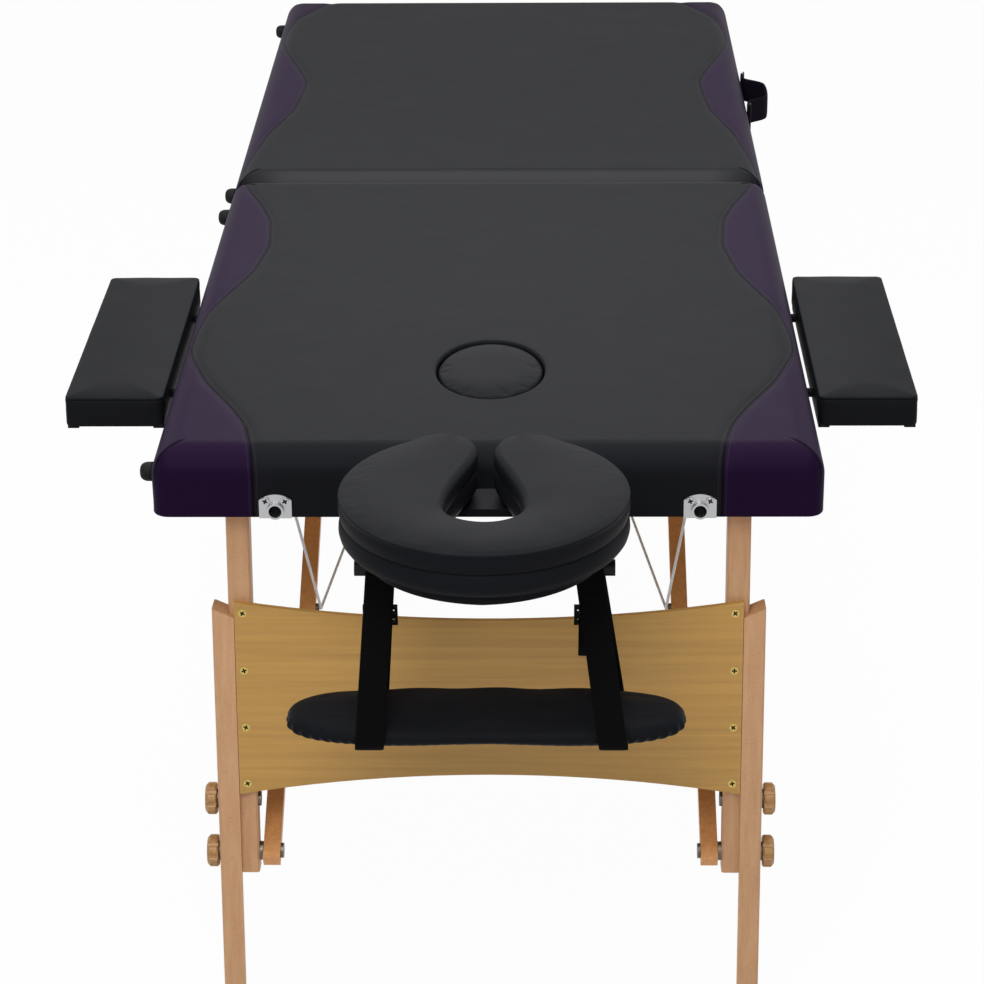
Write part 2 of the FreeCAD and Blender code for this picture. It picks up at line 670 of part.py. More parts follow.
def link_bar(start, end, x0, square_start):
    """A bar from a pivot to the knee in the YZ plane, slimmer at the knee, its start round or square."""
    along = (end - start).normalize()
    across = X_AXIS.cross(along)
    half, knee_half = LINK_DEPTH / 2, KNEE_DEPTH / 2
    begin = start - along * LINK_SQUARE_END if square_start else start
    shift = vec(x0, 0, 0)
    corners = [begin - across * half, end - across * knee_half]
    corners += [end + across * knee_half, begin + across * half]
    corners = [corner + shift for corner in corners]
    edges = [line(corners[0], corners[1]), arc(corners[1], end + along * knee_half + shift, corners[2]),
             line(corners[2], corners[3])]
    if square_start:
        edges.append(line(corners[3], corners[0]))
    else:
        edges.append(arc(corners[3], start - along * half + shift, corners[0]))
    return prism(Part.Wire(edges), vec(LINK_THICKNESS, 0, 0))


def lower_link(inner_x):
    x0 = inner_x - LINK_GAP - LINK_THICKNESS
    bar = link_bar(BRACE_FOOT, KNEE, x0, True)
    bore = rod_x(x0, x0 + LINK_THICKNESS, BRACE_FOOT.y, BRACE_FOOT.z, BOLT_RADIUS + BORE_FIT)
    recess = rod_x(x0, x0 + KNEE_RECESS_DEPTH, KNEE.y, KNEE.z, KNEE_BOLT_RADIUS + BORE_FIT)
    return cut_all(bar, [bore, recess])


def upper_link_x(inner_x):
    return inner_x - 2 * LINK_GAP - 2 * LINK_THICKNESS


def cable_eye_point():
    return LINK_AXIS + BRACE_DIR * (UPPER_LINK_LENGTH - CABLE_EYE_BACK)


def upper_link(inner_x):
    x0 = upper_link_x(inner_x)
    bar = link_bar(LINK_AXIS, KNEE, x0, False)
    bore = rod_x(x0, x0 + LINK_THICKNESS, LINK_AXIS.y, LINK_AXIS.z, BOLT_RADIUS + BORE_FIT)
    knee_bore = rod_x(x0, x0 + LINK_THICKNESS, KNEE.y, KNEE.z, KNEE_BOLT_RADIUS)
    return cut_all(bar, [bore, knee_bore])


def knee_bolt(inner_x):
    """The knee bolt's half on the upper link: head, shank and an end in the gap between the links."""
    x0 = upper_link_x(inner_x)
    head = rod_x(x0 - BOLT_HEAD_THICKNESS, x0, KNEE.y, KNEE.z, KNEE_HEAD_RADIUS)
    shank = rod_x(x0, x0 + LINK_THICKNESS + LINK_GAP / 2, KNEE.y, KNEE.z, KNEE_BOLT_RADIUS)
    return head.fuse(shank)


def cable_eye(inner_x):
    x0 = upper_link_x(inner_x)
    point = cable_eye_point()
    return rod_x(x0 - CABLE_EYE_THICKNESS, x0, point.y, point.z, CABLE_EYE_RADIUS)


def cable_ends(inner_x):
    """The points a cable joins: at the leg end of the deck, at the eye, and at the middle of the deck."""
    inset = LEG_INNER_X - inner_x
    point = cable_eye_point()
    deck_z = DECK_Z - CABLE_ANCHOR_THICKNESS - CABLE_RADIUS
    eye_x = upper_link_x(inner_x) - CABLE_EYE_THICKNESS - CABLE_EYE_GAP - CABLE_RADIUS
    return (vec(CABLE_END_X - inset, -CABLE_END_FROM_FOLD, deck_z), vec(eye_x, point.y, point.z),
            vec(CABLE_MID_X, -CABLE_MID_FROM_FOLD, deck_z))


def cable(inner_x):
    """A steel rope pulled tight from the deck to the brace and back to the deck."""
    first, eye, last = cable_ends(inner_x)
    bend = Part.makeSphere(CABLE_RADIUS, eye)
    return rod(first, eye, CABLE_RADIUS).fuse([rod(eye, last, CABLE_RADIUS), bend])


def cable_anchors(inner_x):
    first, eye, last = cable_ends(inner_x)
    discs = []
    for point in (first, last):
        foot = vec(point.x, point.y, DECK_Z - CABLE_ANCHOR_THICKNESS)
        discs.append(Part.makeCylinder(CABLE_ANCHOR_RADIUS, CABLE_ANCHOR_THICKNESS, foot))
    return discs


# Sockets, headrest and arm shelf

def socket_plate(x):
    """A D-shaped plate on the head end with a tube through it that takes an accessory's peg."""
    face_y = -HALF_LENGTH
    front_y = face_y - SOCKET_PLATE_THICKNESS
    tube_z = UNDER_Z + SOCKET_UP
    half = SOCKET_PLATE_WIDTH / 2
    low, high = UNDER_Z, UNDER_Z + SOCKET_PLATE_HEIGHT
    shoulder = high - SOCKET_PLATE_HEIGHT / 4
    edges = [line(vec(x - half, face_y, low), vec(x + half, face_y, low)),
             line(vec(x + half, face_y, low), vec(x + half, face_y, shoulder)),
             arc(vec(x + half, face_y, shoulder), vec(x, face_y, high), vec(x - half, face_y, shoulder)),
             line(vec(x - half, face_y, shoulder), vec(x - half, face_y, low))]
    plate = prism(Part.Wire(edges), vec(0, -SOCKET_PLATE_THICKNESS, 0))
    mouth_y = front_y - SOCKET_STAND_OUT
    plate = plate.fuse(rod_y(mouth_y, face_y + SOCKET_LENGTH, x, tube_z, SOCKET_RADIUS))
    plate = plate.cut(rod_y(mouth_y, face_y + SOCKET_LENGTH, x, tube_z, SOCKET_BORE))
    return plate.removeSplitter()


def socket_screws(x):
    front_y = -HALF_LENGTH - SOCKET_PLATE_THICKNESS
    z = UNDER_Z + SOCKET_UP + SOCKET_SCREW_UP
    places = (x - SOCKET_SCREW_SPACING / 2, x + SOCKET_SCREW_SPACING / 2)
    return [rod_y(front_y - SCREW_RADIUS, front_y, px, z, SCREW_HEAD_RADIUS) for px in places]


def headrest_outline(inset, z):
    return oval(0, HEADREST_Y, z, HEADREST_WIDTH / 2 - inset, HEADREST_LENGTH / 2 - inset)


def keyhole(grow, z):
    """Outline of the face opening: round towards the front, a narrow neck, then flared to the rear."""
    front = HEADREST_Y - KEYHOLE_FRONT
    neck_y = HEADREST_Y + KEYHOLE_NECK_BACK
    rear_y = HEADREST_REAR_Y + HEADREST_GAP
    radius, neck, flare = KEYHOLE_RADIUS + grow, KEYHOLE_NECK + grow, KEYHOLE_FLARE + grow
    bow = radius * math.sqrt(0.5)
    waist = (front + neck_y) / 2
    bend = (radius + neck) / 2
    turn_y = (neck_y + rear_y) / 2
    turn_x = neck + (flare - neck) * KEYHOLE_TURN_SHARE
    bulge = bend * KEYHOLE_WAIST_BULGE
    edges = [
        arc(vec(0, front - radius, z), vec(bow, front - bow, z), vec(radius, front, z)),
        arc(vec(radius, front, z), vec(bulge, waist, z), vec(neck, neck_y, z)),
        arc(vec(neck, neck_y, z), vec(turn_x, turn_y, z), vec(flare, rear_y, z)),
        line(vec(flare, rear_y, z), vec(-flare, rear_y, z)),
        arc(vec(-flare, rear_y, z), vec(-turn_x, turn_y, z), vec(-neck, neck_y, z)),
        arc(vec(-neck, neck_y, z), vec(-bulge, waist, z), vec(-radius, front, z)),
        arc(vec(-radius, front, z), vec(-bow, front - bow, z), vec(0, front - radius, z)),
    ]
    return Part.Wire(edges)


def headrest_layer(sections, spread):
    """A cushion layer with the keyhole through it, wider by spread towards its rolled faces."""
    layer = cushion(headrest_outline, sections)
    low, high = sections[0][1], sections[-1][1]
    hole = [keyhole(spread * KEYHOLE_LOW_SHARE, low - 1)]
    hole += [keyhole(spread * share, low + level * (high - low)) for level, share in KEYHOLE_LEVELS]
    hole.append(keyhole(spread, high + 1))
    return layer.cut(Part.makeLoft(hole, True, True))


def headrest_cushion():
    sections = crown_sections(HEADREST_SEAM_Z + SOFT_FIT, HEADREST_TOP_Z, HEADREST_TUCK, HEADREST_ROLL)
    return headrest_layer(sections, TOP_SPREAD)


def headrest_base():
    sections = [(inset, HEADREST_LOW_Z + level * HEADREST_LOW_LAYER) for inset, level in LOW_LAYER_INSETS]
    return headrest_layer(sections, LOW_SPREAD)


def headrest_board():
    """Ply board under the cushions, its opening closed at the rear by a bridge."""
    z0 = HEADREST_LOW_Z - SOFT_FIT - HEADREST_BOARD
    up = vec(0, 0, HEADREST_BOARD)
    board = prism(headrest_outline(HEADREST_BOARD_MARGIN, z0), up)
    front, back = HEADREST_Y - BOARD_OPENING_FRONT, HEADREST_Y + BOARD_OPENING_BACK
    wire = rounded_rectangle(-KEYHOLE_RADIUS, KEYHOLE_RADIUS, front, back, z0, BOARD_OPENING_CORNER)
    return board.cut(prism(wire, up))


def headrest_rods():
    """Two rods on a cross tube: the rods plug into the head end, the tube carries the board and straps."""
    tube = rod_x(-TUBE_LENGTH / 2, TUBE_LENGTH / 2, TUBE_Y, TUBE_Z, TUBE_RADIUS)
    for x in (-ROD_SPACING / 2, ROD_SPACING / 2):
        tube = tube.fuse(rod_y(TUBE_Y, -HALF_LENGTH + ROD_INSERT, x, TUBE_Z, ROD_RADIUS))
    return tube.removeSplitter()


def rod_bush(x):
    outer = rod_y(FRAME_END_Y, FRAME_END_Y + BUSH_LENGTH, x, TUBE_Z, BUSH_RADIUS)
    return outer.cut(rod_y(FRAME_END_Y, FRAME_END_Y + BUSH_LENGTH, x, TUBE_Z, ROD_RADIUS + BORE_FIT))


def headrest_clamp(x):
    half = CLAMP_WIDTH / 2
    top = HEADREST_LOW_Z - SOFT_FIT - HEADREST_BOARD
    block = box(x - half, x + half, TUBE_Y - CLAMP_HALF_LENGTH, TUBE_Y + CLAMP_HALF_LENGTH,
                TUBE_Z - TUBE_RADIUS - CLAMP_BELOW, top)
    return block.cut(rod_x(x - half, x + half, TUBE_Y, TUBE_Z, TUBE_RADIUS + BORE_FIT))


def shelf_outline(inset, z):
    """A long oval with round ends and a shallow notch in the middle of its front edge."""
    end = SHELF_DEPTH / 2 - inset
    half = SHELF_WIDTH / 2 - SHELF_DEPTH / 2
    rear, front = TUBE_Y + end, TUBE_Y - end
    bow = end * math.sqrt(0.5)
    edges = [
        arc(vec(-half, front, z), vec(0, front + SHELF_NOTCH, z), vec(half, front, z)),
        arc(vec(half, front, z), vec(half + bow, TUBE_Y - bow, z), vec(half + end, TUBE_Y, z)),
        arc(vec(half + end, TUBE_Y, z), vec(half + bow, TUBE_Y + bow, z), vec(half, rear, z)),
        line(vec(half, rear, z), vec(-half, rear, z)),
        arc(vec(-half, rear, z), vec(-half - bow, TUBE_Y + bow, z), vec(-half - end, TUBE_Y, z)),
        arc(vec(-half - end, TUBE_Y, z), vec(-half - bow, TUBE_Y - bow, z), vec(-half, front, z)),
    ]
    return Part.Wire(edges)


def arm_shelf():
    low = SHELF_TOP_Z - SHELF_THICKNESS
    return cushion(shelf_outline, crown_sections(low, SHELF_TOP_Z, SHELF_TUCK, SHELF_ROLL))


def strap_loop(x):
    """Webbing round the cross tube, down both edges of the shelf and under it, as one closed band."""
    inner = TUBE_RADIUS + SOFT_FIT
    out = SHELF_DEPTH / 2 + SOFT_FIT
    under = SHELF_TOP_Z - SHELF_THICKNESS - SOFT_FIT
    shelf_top = SHELF_TOP_Z

    def ring(grow):
        radius = inner + grow
        front, rear = vec(0, TUBE_Y - radius, TUBE_Z), vec(0, TUBE_Y + radius, TUBE_Z)
        return [arc(front, vec(0, TUBE_Y, TUBE_Z + radius), rear),
                line(vec(0, TUBE_Y + radius, TUBE_Z), vec(0, TUBE_Y + out + grow, shelf_top)),
                line(vec(0, TUBE_Y + out + grow, shelf_top), vec(0, TUBE_Y + out + grow, under - grow)),
                line(vec(0, TUBE_Y + out + grow, under - grow), vec(0, TUBE_Y - out - grow, under - grow)),
                line(vec(0, TUBE_Y - out - grow, under - grow), vec(0, TUBE_Y - out - grow, shelf_top)),
                line(vec(0, TUBE_Y - out - grow, shelf_top), vec(0, TUBE_Y - radius, TUBE_Z))]

    across = vec(STRAP_WIDTH, 0, 0)
    band = prism(Part.Wire(ring(STRAP_THICKNESS)), across).cut(prism(Part.Wire(ring(0.0)), across))
    band.translate(vec(x - STRAP_WIDTH / 2, 0, 0))
    return band


def strap_buckle(x):
    """A ladder buckle on the rear strap, with two slots for the webbing."""
    top = vec(0, TUBE_Y + TUBE_RADIUS + SOFT_FIT + STRAP_THICKNESS, TUBE_Z)
    bottom = vec(0, TUBE_Y + SHELF_DEPTH / 2 + SOFT_FIT + STRAP_THICKNESS, SHELF_TOP_Z)
    middle = top + (bottom - top) * BUCKLE_SHARE
    lean = math.degrees(math.atan2(bottom.y - top.y, top.z - bottom.z))
    half = BUCKLE_WIDTH / 2
    plate = box(-half, half, 0, BUCKLE_THICKNESS, -BUCKLE_HEIGHT / 2, BUCKLE_HEIGHT / 2)
    slot_half = STRAP_WIDTH / 2
    quarter = BUCKLE_HEIGHT / 4
    gap = BUCKLE_HEIGHT / 10
    for z in (-quarter, quarter):
        plate = plate.cut(box(-slot_half, slot_half, 0, BUCKLE_THICKNESS, z - gap, z + gap))
    plate.rotate(vec(0, 0, 0), X_AXIS, lean)
    plate.translate(vec(x, middle.y, middle.z))
    return plate


# Armrests, bumpers and handle

def armrest_outline(inset, z):
    low_y = -ARMREST_FROM_FOLD - ARMREST_LENGTH / 2
    high_y = -ARMREST_FROM_FOLD + ARMREST_LENGTH / 2
    return rounded_rectangle(ARMREST_IN_X + inset, ARMREST_IN_X + ARMREST_WIDTH - inset, low_y + inset,
                             high_y - inset, z, ARMREST_CORNER)


def armrest_pad():
    low = ARMREST_BOARD_Z + ARMREST_BOARD + SOFT_FIT
    return cushion(armrest_outline, crown_sections(low, TOP_HEIGHT - ARMREST_DROP, ARMREST_TUCK, ARMREST_ROLL))


def armrest_board():
    board = prism(armrest_outline(0.0, ARMREST_BOARD_Z), vec(0, 0, ARMREST_BOARD))
    low_y = -ARMREST_FROM_FOLD - ARMREST_LENGTH / 2 + ARMREST_CORNER
    high_y = -ARMREST_FROM_FOLD + ARMREST_LENGTH / 2 - ARMREST_CORNER
    battens = []
    low_z = ARMREST_BOARD_Z - ARMREST_BATTEN_HEIGHT
    for x in (ARMREST_IN_X, ARMREST_IN_X + ARMREST_WIDTH - ARMREST_BATTEN_WIDTH):
        battens.append(box(x, x + ARMREST_BATTEN_WIDTH, low_y, high_y, low_z, ARMREST_BOARD_Z))
    board = board.fuse(battens).removeSplitter()
    return cut_all(board, armrest_rods())


def armrest_rods():
    start = HALF_WIDTH - ARMREST_ROD_INSERT
    end = ARMREST_IN_X + ARMREST_WIDTH - ARMREST_BATTEN_WIDTH
    return [rod_x(start, end, y, ARMREST_ROD_Z, ARMREST_ROD_RADIUS) for y in armrest_rod_ys()]


def bumpers():
    """Rubber feet on the left side, which the folded table stands on."""
    z = TOP_HEIGHT - BUMPER_DROP
    ends = (-HALF_LENGTH + BUMPER_FROM_END, -BUMPER_FROM_END)
    tip_x = -HALF_WIDTH - BUMPER_LENGTH
    stubs = [rod_x(tip_x, -HALF_WIDTH, y, z, BUMPER_RADIUS) for y in ends]
    return [ease_edges(stub, BUMPER_EASE, lambda middle: middle.x - tip_x < SOFT_FIT) for stub in stubs]


def carry_handle():
    """A webbing loop that stands out from the side, with flat tabs at both ends."""
    z0 = TOP_HEIGHT - HANDLE_DROP - HANDLE_WIDTH / 2
    half = HANDLE_SPAN / 2
    middle = -HANDLE_FROM_FOLD

    inner_mid = HANDLE_X + HANDLE_REACH - HANDLE_THICKNESS
    outer = [vec(HANDLE_X, middle - half - HANDLE_THICKNESS, z0), vec(HANDLE_X + HANDLE_REACH, middle, z0),
             vec(HANDLE_X, middle + half + HANDLE_THICKNESS, z0)]
    inner = [vec(HANDLE_X, middle - half, z0), vec(inner_mid, middle, z0), vec(HANDLE_X, middle + half, z0)]
    edges = [arc(*outer), line(outer[2], inner[2]), arc(*reversed(inner)), line(inner[0], outer[0])]
    band = prism(Part.Wire(edges), vec(0, 0, HANDLE_WIDTH))
    for sign in (-1, 1):
        y0 = middle + sign * half
        tab = box(HANDLE_X, HANDLE_X + HANDLE_THICKNESS, min(y0, y0 + sign * HANDLE_TAB),
                  max(y0, y0 + sign * HANDLE_TAB), z0, z0 + HANDLE_WIDTH)
        band = band.fuse(tab)
    return band.removeSplitter()


def handle_plates():
    z0 = TOP_HEIGHT - HANDLE_DROP - HANDLE_WIDTH / 2
    x0 = HANDLE_X + HANDLE_THICKNESS
    plates = []
    for sign in (-1, 1):
        far = -HANDLE_FROM_FOLD + sign * (HANDLE_SPAN / 2 + HANDLE_TAB)
        near = far - sign * HANDLE_TAB / 2
        x1, y0, y1 = x0 + HANDLE_PLATE_THICKNESS, min(near, far), max(near, far)
        plates.append(box(x0, x1, y0, y1, z0, z0 + HANDLE_WIDTH))
    return plates


# Assembly

NODES = {}


def add(name, solids):
    NODES[name] = solids if isinstance(solids, list) else [solids]


def add_leg_set(prefix, inner_x, turn):
    """All pieces of one leg set; turn places a head-half shape at its own end of the table."""
    def put(shapes):
        return [turn(shape) for shape in shapes]

    def legs(shapes):
        return put([place_leg(shape) for shape in shapes])

    def pairs(shapes):
        return [side for shape in shapes for side in both_sides(shape)]

    link_x = upper_link_x(inner_x)
    seats = ((inner_x, LEG_WIDTH, LEG_AXIS.y, LEG_AXIS.z), (link_x, LINK_THICKNESS, LINK_AXIS.y, LINK_AXIS.z))
    add(prefix + "_brackets", put(pairs([bracket(*seat) for seat in seats] + cable_anchors(inner_x))))
    add(prefix + "_bracket_bolts", put(pairs([bracket_bolt(*seat) for seat in seats])))
    add(prefix + "_upper_legs", legs(both_sides(upper_leg(inner_x))))
    add(prefix + "_panel", legs([panel(inner_x)]))
    add(prefix + "_panel_screws", legs(pairs(panel_screws_right(inner_x, 0.0))))
    add(prefix + "_leg_bolts", legs(pairs(leg_bolts_right(inner_x) + washers_right(inner_x))))
    add(prefix + "_lower_links", put(both_sides(lower_link(inner_x))))
    add(prefix + "_upper_links", put(both_sides(upper_link(inner_x))))
    add(prefix + "_knee_bolts", put(both_sides(knee_bolt(inner_x)) + both_sides(cable_eye(inner_x))))
    add(prefix + "_cables", put(both_sides(cable(inner_x))))
    for side, flip in (("right", lambda shape: shape), ("left", mirror_x)):
        add(prefix + "_lower_leg_" + side, put([flip(lower_leg(inner_x)), flip(foot_pad(inner_x))]))
        for level, down in zip(("upper", "lower"), BOLT_DOWNS):
            turned = place_leg(knob(inner_x, down))
            add(prefix + "_knob_" + level + "_" + side, put([flip(turned)]))


def build():
    end_rail_y, fold_rail_y = FRAME_END_Y, FRAME_FOLD_Y - RAIL_THICKNESS
    rods = rod_holes(BUSH_RADIUS)
    head_rails = [cut_all(rail, armrest_holes()) for rail in both_sides(side_rail_right())]
    head_end = cut_all(cross_rail(end_rail_y), socket_holes() + rods)
    add("head_frame", head_rails + [head_end, cross_rail(fold_rail_y)])
    add("head_deck", deck().cut(face_hole(DECK_Z, PAD_Z, PLUG_GAP + PLUG_LEDGE)))
    add("head_pad", pad().cut(face_hole(PAD_Z, TOP_HEIGHT, 0.0)))
    head_skirt = cut_all(skirt(), socket_holes() + rod_holes(ROD_RADIUS + BORE_FIT) + armrest_holes())
    add("head_skirt", head_skirt)
    foot_rails = both_sides(side_rail_right()) + [cross_rail(end_rail_y), cross_rail(fold_rail_y)]
    add("foot_frame", [mirror_y(rail) for rail in foot_rails])
    add("foot_deck", mirror_y(deck()))
    add("foot_pad", mirror_y(pad()))
    add("foot_skirt", mirror_y(skirt()))
    add("fold_hinge_head_leaves", both_sides(fold_leaf(False)) + both_sides(fold_pin()))
    add("fold_hinge_foot_leaves", [mirror_y(leaf) for leaf in both_sides(fold_leaf(True))])
    add("face_plug", face_plug())
    add_leg_set("head", LEG_INNER_X, lambda shape: shape)
    add_leg_set("foot", LEG_INNER_X - FOOT_SET_INSET, mirror_y)
    sockets = [socket_plate(x) for x in (-SOCKET_X, SOCKET_X)]
    add("head_sockets", sockets + socket_screws(-SOCKET_X) + socket_screws(SOCKET_X))
    add("headrest_bushes", [rod_bush(x) for x in (-ROD_SPACING / 2, ROD_SPACING / 2)])
    add("headrest_rods", headrest_rods())
    add("headrest_clamps", [headrest_clamp(x) for x in (-CLAMP_SPACING / 2, CLAMP_SPACING / 2)])
    add("headrest_board", headrest_board())
    add("headrest_base", headrest_base())
    add("headrest_cushion", headrest_cushion())
    add("arm_shelf", arm_shelf())
    add("shelf_straps", [strap_loop(x) for x in (-STRAP_X, STRAP_X)])
    add("strap_buckles", [strap_buckle(x) for x in (-STRAP_X, STRAP_X)])
    for side, flip in (("right", lambda shape: shape), ("left", mirror_x)):
        add("armrest_pad_" + side, flip(armrest_pad()))
        add("armrest_board_" + side, [flip(piece) for piece in [armrest_board()] + armrest_rods()])
    add("head_bumpers", bumpers())
    add("foot_bumpers", [mirror_y(bumper) for bumper in bumpers()])
    add("carry_handle", [mirror_y(piece) for piece in [carry_handle()] + handle_plates()])


def save():
    os.makedirs("parts", exist_ok=True)
    for name, solids in NODES.items():
        flat = [solid for shape in solids for solid in shape.Solids]
        shape = flat[0] if len(flat) == 1 else Part.makeCompound(flat)
        shape.translate(vec(0, -ORIGIN_Y, 0))
        shape.exportStep(os.path.join("parts", name + ".step"))


build()
save()
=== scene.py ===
"""Looks of a folding massage table: padded vinyl, webbing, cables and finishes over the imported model."""

import json
import math

import bmesh
import bpy
import numpy as np
from bpy.props import FloatProperty, FloatVectorProperty, PointerProperty
from mathutils import Euler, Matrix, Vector


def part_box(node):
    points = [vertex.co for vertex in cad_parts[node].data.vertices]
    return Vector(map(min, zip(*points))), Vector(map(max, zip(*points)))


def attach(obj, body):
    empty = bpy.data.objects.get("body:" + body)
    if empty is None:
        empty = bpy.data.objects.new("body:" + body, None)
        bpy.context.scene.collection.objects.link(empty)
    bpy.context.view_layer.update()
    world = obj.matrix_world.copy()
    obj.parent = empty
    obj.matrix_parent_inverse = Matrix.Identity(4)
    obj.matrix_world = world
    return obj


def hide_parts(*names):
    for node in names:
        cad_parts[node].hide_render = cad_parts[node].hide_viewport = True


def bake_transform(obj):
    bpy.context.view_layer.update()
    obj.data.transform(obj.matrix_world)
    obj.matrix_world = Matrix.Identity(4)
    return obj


bl_info = {
    "name": "Folding massage table",
    "version": (1, 0, 0),
    "blender": (4, 5, 0),
    "location": "View3D > Sidebar > Massage table",
    "description": "Dresses the packed table with padded vinyl, webbing, cables, wood and metal",
    "category": "Add Mesh",
}

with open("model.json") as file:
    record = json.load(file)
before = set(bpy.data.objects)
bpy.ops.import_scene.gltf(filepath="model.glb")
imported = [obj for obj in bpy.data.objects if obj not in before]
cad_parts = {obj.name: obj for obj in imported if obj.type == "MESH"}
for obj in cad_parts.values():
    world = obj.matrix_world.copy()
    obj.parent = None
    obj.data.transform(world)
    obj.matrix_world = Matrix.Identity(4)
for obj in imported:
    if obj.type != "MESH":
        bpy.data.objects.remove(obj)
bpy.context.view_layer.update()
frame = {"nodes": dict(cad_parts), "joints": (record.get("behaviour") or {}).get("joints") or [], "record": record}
JOINTS = {joint["name"]: joint for joint in frame["joints"]}
NODES = frame["nodes"]
MM = 0.001
# Where the halves lie from the fold along y, and the sides along x
HALVES = {"head": -1.0, "foot": 1.0}
SIDES = {"left": -1.0, "right": 1.0}
ALONG_X = np.array([1.0, 0.0, 0.0])
ALONG_Z = np.array([0.0, 0.0, 1.0])
WHITE = (1.0, 1.0, 1.0, 1.0)

# Places taken from the frame, in metres
FOLD_Y = JOINTS["table_fold"]["pos_m"][1]
TUBE_Y, TUBE_Z = JOINTS["headrest_tilt"]["pos_m"][1:]
SKIRT_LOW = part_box("head_skirt")[0].z
SPLAY = math.radians(5.0)
# Screws of the headrest socket plates
SOCKET_SCREW_X, SOCKET_SCREW_Z = (0.204, 0.224), 0.597
# Half sizes of the face hole in the cover, close round the plug
HOLE_HALF_X, HOLE_HALF_Y = 0.0578, 0.0858

# Seams between the black middle and the purple side panels: distance from the fold, half width, in mm
SEAMS = {
    "head": ((2, 326), (60, 312), (120, 292), (184, 276), (280, 270), (377, 282), (440, 300), (504, 319),
             (574, 330), (620, 330), (667, 321), (734, 301), (808, 267), (856, 249), (906, 240), (940, 234)),
    "foot": ((2, 332), (60, 328), (190, 310), (304, 284), (400, 277), (450, 276), (500, 287), (600, 313),
             (690, 328), (750, 325), (812, 314), (898, 275), (940, 250)),
}

# Matt-finished PVC mirrors less than plain plastic, and more where its emboss is rubbed flat
VINYL_ROUGHNESS = 0.5
VINYL_GLOSS = 0.034
RUBBED_GLOSS = 0.22

# Filled covers: cloth settings and the number of frames that the filling takes
CLOTH = {"quality": 6, "mass": 0.4, "tension_stiffness": 25.0, "compression_stiffness": 25.0,
         "shear_stiffness": 12.0, "bending_stiffness": 2.0, "use_pressure": True,
         "uniform_pressure_force": 4.0, "vertex_group_mass": "sewn"}
FILL_FRAMES = 20

# Lights: name, place, the point they face, size in metres, power in watts
LIGHTS = (
    ("softbox above", (0.0, -0.6, 3.3), (0.0, -0.5, 0.6), 2.4, 62.0),
    ("low strip behind", (0.0, 0.7, 1.55), (0.0, -0.95, 0.68), 1.1, 4.5),
    ("front fill", (-0.5, -3.2, 2.9), (0.0, -0.9, 0.4), 1.6, 50.0),
)

# Finishes by their slot name, filled by the first operator
FINISHES = {}


def length(name, text, value):
    """A property in metres."""
    return FloatProperty(name=name, description=text, default=value, unit="LENGTH")


def colour(name, text, value):
    """A property with a linear colour."""
    return FloatVectorProperty(name=name, description=text, default=value, subtype="COLOR")


class MassageTableSizes(bpy.types.PropertyGroup):
    """Sizes of the soft pieces, in metres."""

    edge_roll: length("Edge roll", "How far the top's rolled edge reaches in", 0.030)
    edge_drop: length("Edge drop", "Height of the top's rolled edge", 0.030)
    corner: length("Corner", "Corner radius of the table top", 0.018)
    hole_roll: length("Hole roll", "Radius of the face hole's rolled edge", 0.004)
    seam_depth: length("Seam depth", "How deep the sewn seams draw the foam in", 0.0012)
    cable_radius: length("Cable radius", "Radius of the steel cables", 0.0016)
    strap_width: length("Strap width", "Width of the shelf's webbing", 0.028)


class MassageTableColours(bpy.types.PropertyGroup):
    """Colours of the main finishes, linear."""

    black: colour("Black vinyl", "Colour of the middle panels", (0.0080, 0.0085, 0.0106))
    purple: colour("Purple vinyl", "Colour of the side panels", (0.0118, 0.0034, 0.0212))
    beech: colour("Beech", "Colour of the legs", (0.610, 0.352, 0.178))


# Numbers

def linear(code):
    """An sRGB hex value as linear RGBA."""
    levels = np.array([int(code[start:start + 2], 16) for start in (0, 2, 4)]) / 255.0
    levels = np.where(levels <= 0.04045, levels / 12.92, ((levels + 0.055) / 1.055) ** 2.4)
    return (*levels.tolist(), 1.0)


def smooth_step(value):
    """0 below 0, 1 above 1 and 3t2 - 2t3 between."""
    share = np.clip(value, 0.0, 1.0)
    return share * share * (3.0 - 2.0 * share)


def crown(share):
    """Height of a dome: 0 at its edge, 1 and level in its middle."""
    return share * (2 - share)


def signed_power(values, power):
    """A power that keeps the sign, as superellipses need."""
    return np.sign(values) * np.abs(values) ** power


def full_turn(count):
    """Angles round a full turn in even steps."""
    return np.linspace(0.0, 2 * np.pi, count, endpoint=False)


def quarter_turn(count):
    """Angles up to a quarter turn in even steps, without the first at 0."""
    return np.linspace(0.0, 0.5 * np.pi, count)[1:]


def unit(rows):
    """Each row of an array at length 1."""
    return rows / np.linalg.norm(rows, axis=1, keepdims=True)


def length_along(line):
    """The length along a line of points, 0 at its first point."""
    return np.concatenate([[0.0], np.cumsum(np.linalg.norm(np.diff(line, axis=0), axis=1))])


def ripples(points, wave, seed):
    """Soft random waves: the mean of eight sines with random directions and phases, about one wave long."""
    count = 8
    rng = np.random.default_rng(seed)
    heading = unit(rng.normal(size=(count, 3)))
    heading *= (2.0 * np.pi / wave) * rng.uniform(0.6, 1.5, (count, 1))
    phases = rng.uniform(0.0, 2.0 * np.pi, count)
    return np.sin(points @ heading.T + phases).mean(axis=-1)


# Meshes

def grid_faces(rows, columns, wrap_rows, wrap_columns):
    """Quads between neighbours of a grid of points, joined round where a direction wraps."""
    index = np.arange(rows * columns).reshape(rows, columns)
    if wrap_rows:
        index = np.vstack([index, index[:1]])
    if wrap_columns:
        index = np.hstack([index, index[:, :1]])
    corners = [index[:-1, :-1], index[:-1, 1:], index[1:, 1:], index[1:, :-1]]
    return np.stack(corners, axis=-1).reshape(-1, 4)


def flat_floats(values):
    """An array as the flat run of floats that foreach_set takes."""
    return np.ascontiguousarray(values, np.float32).ravel()


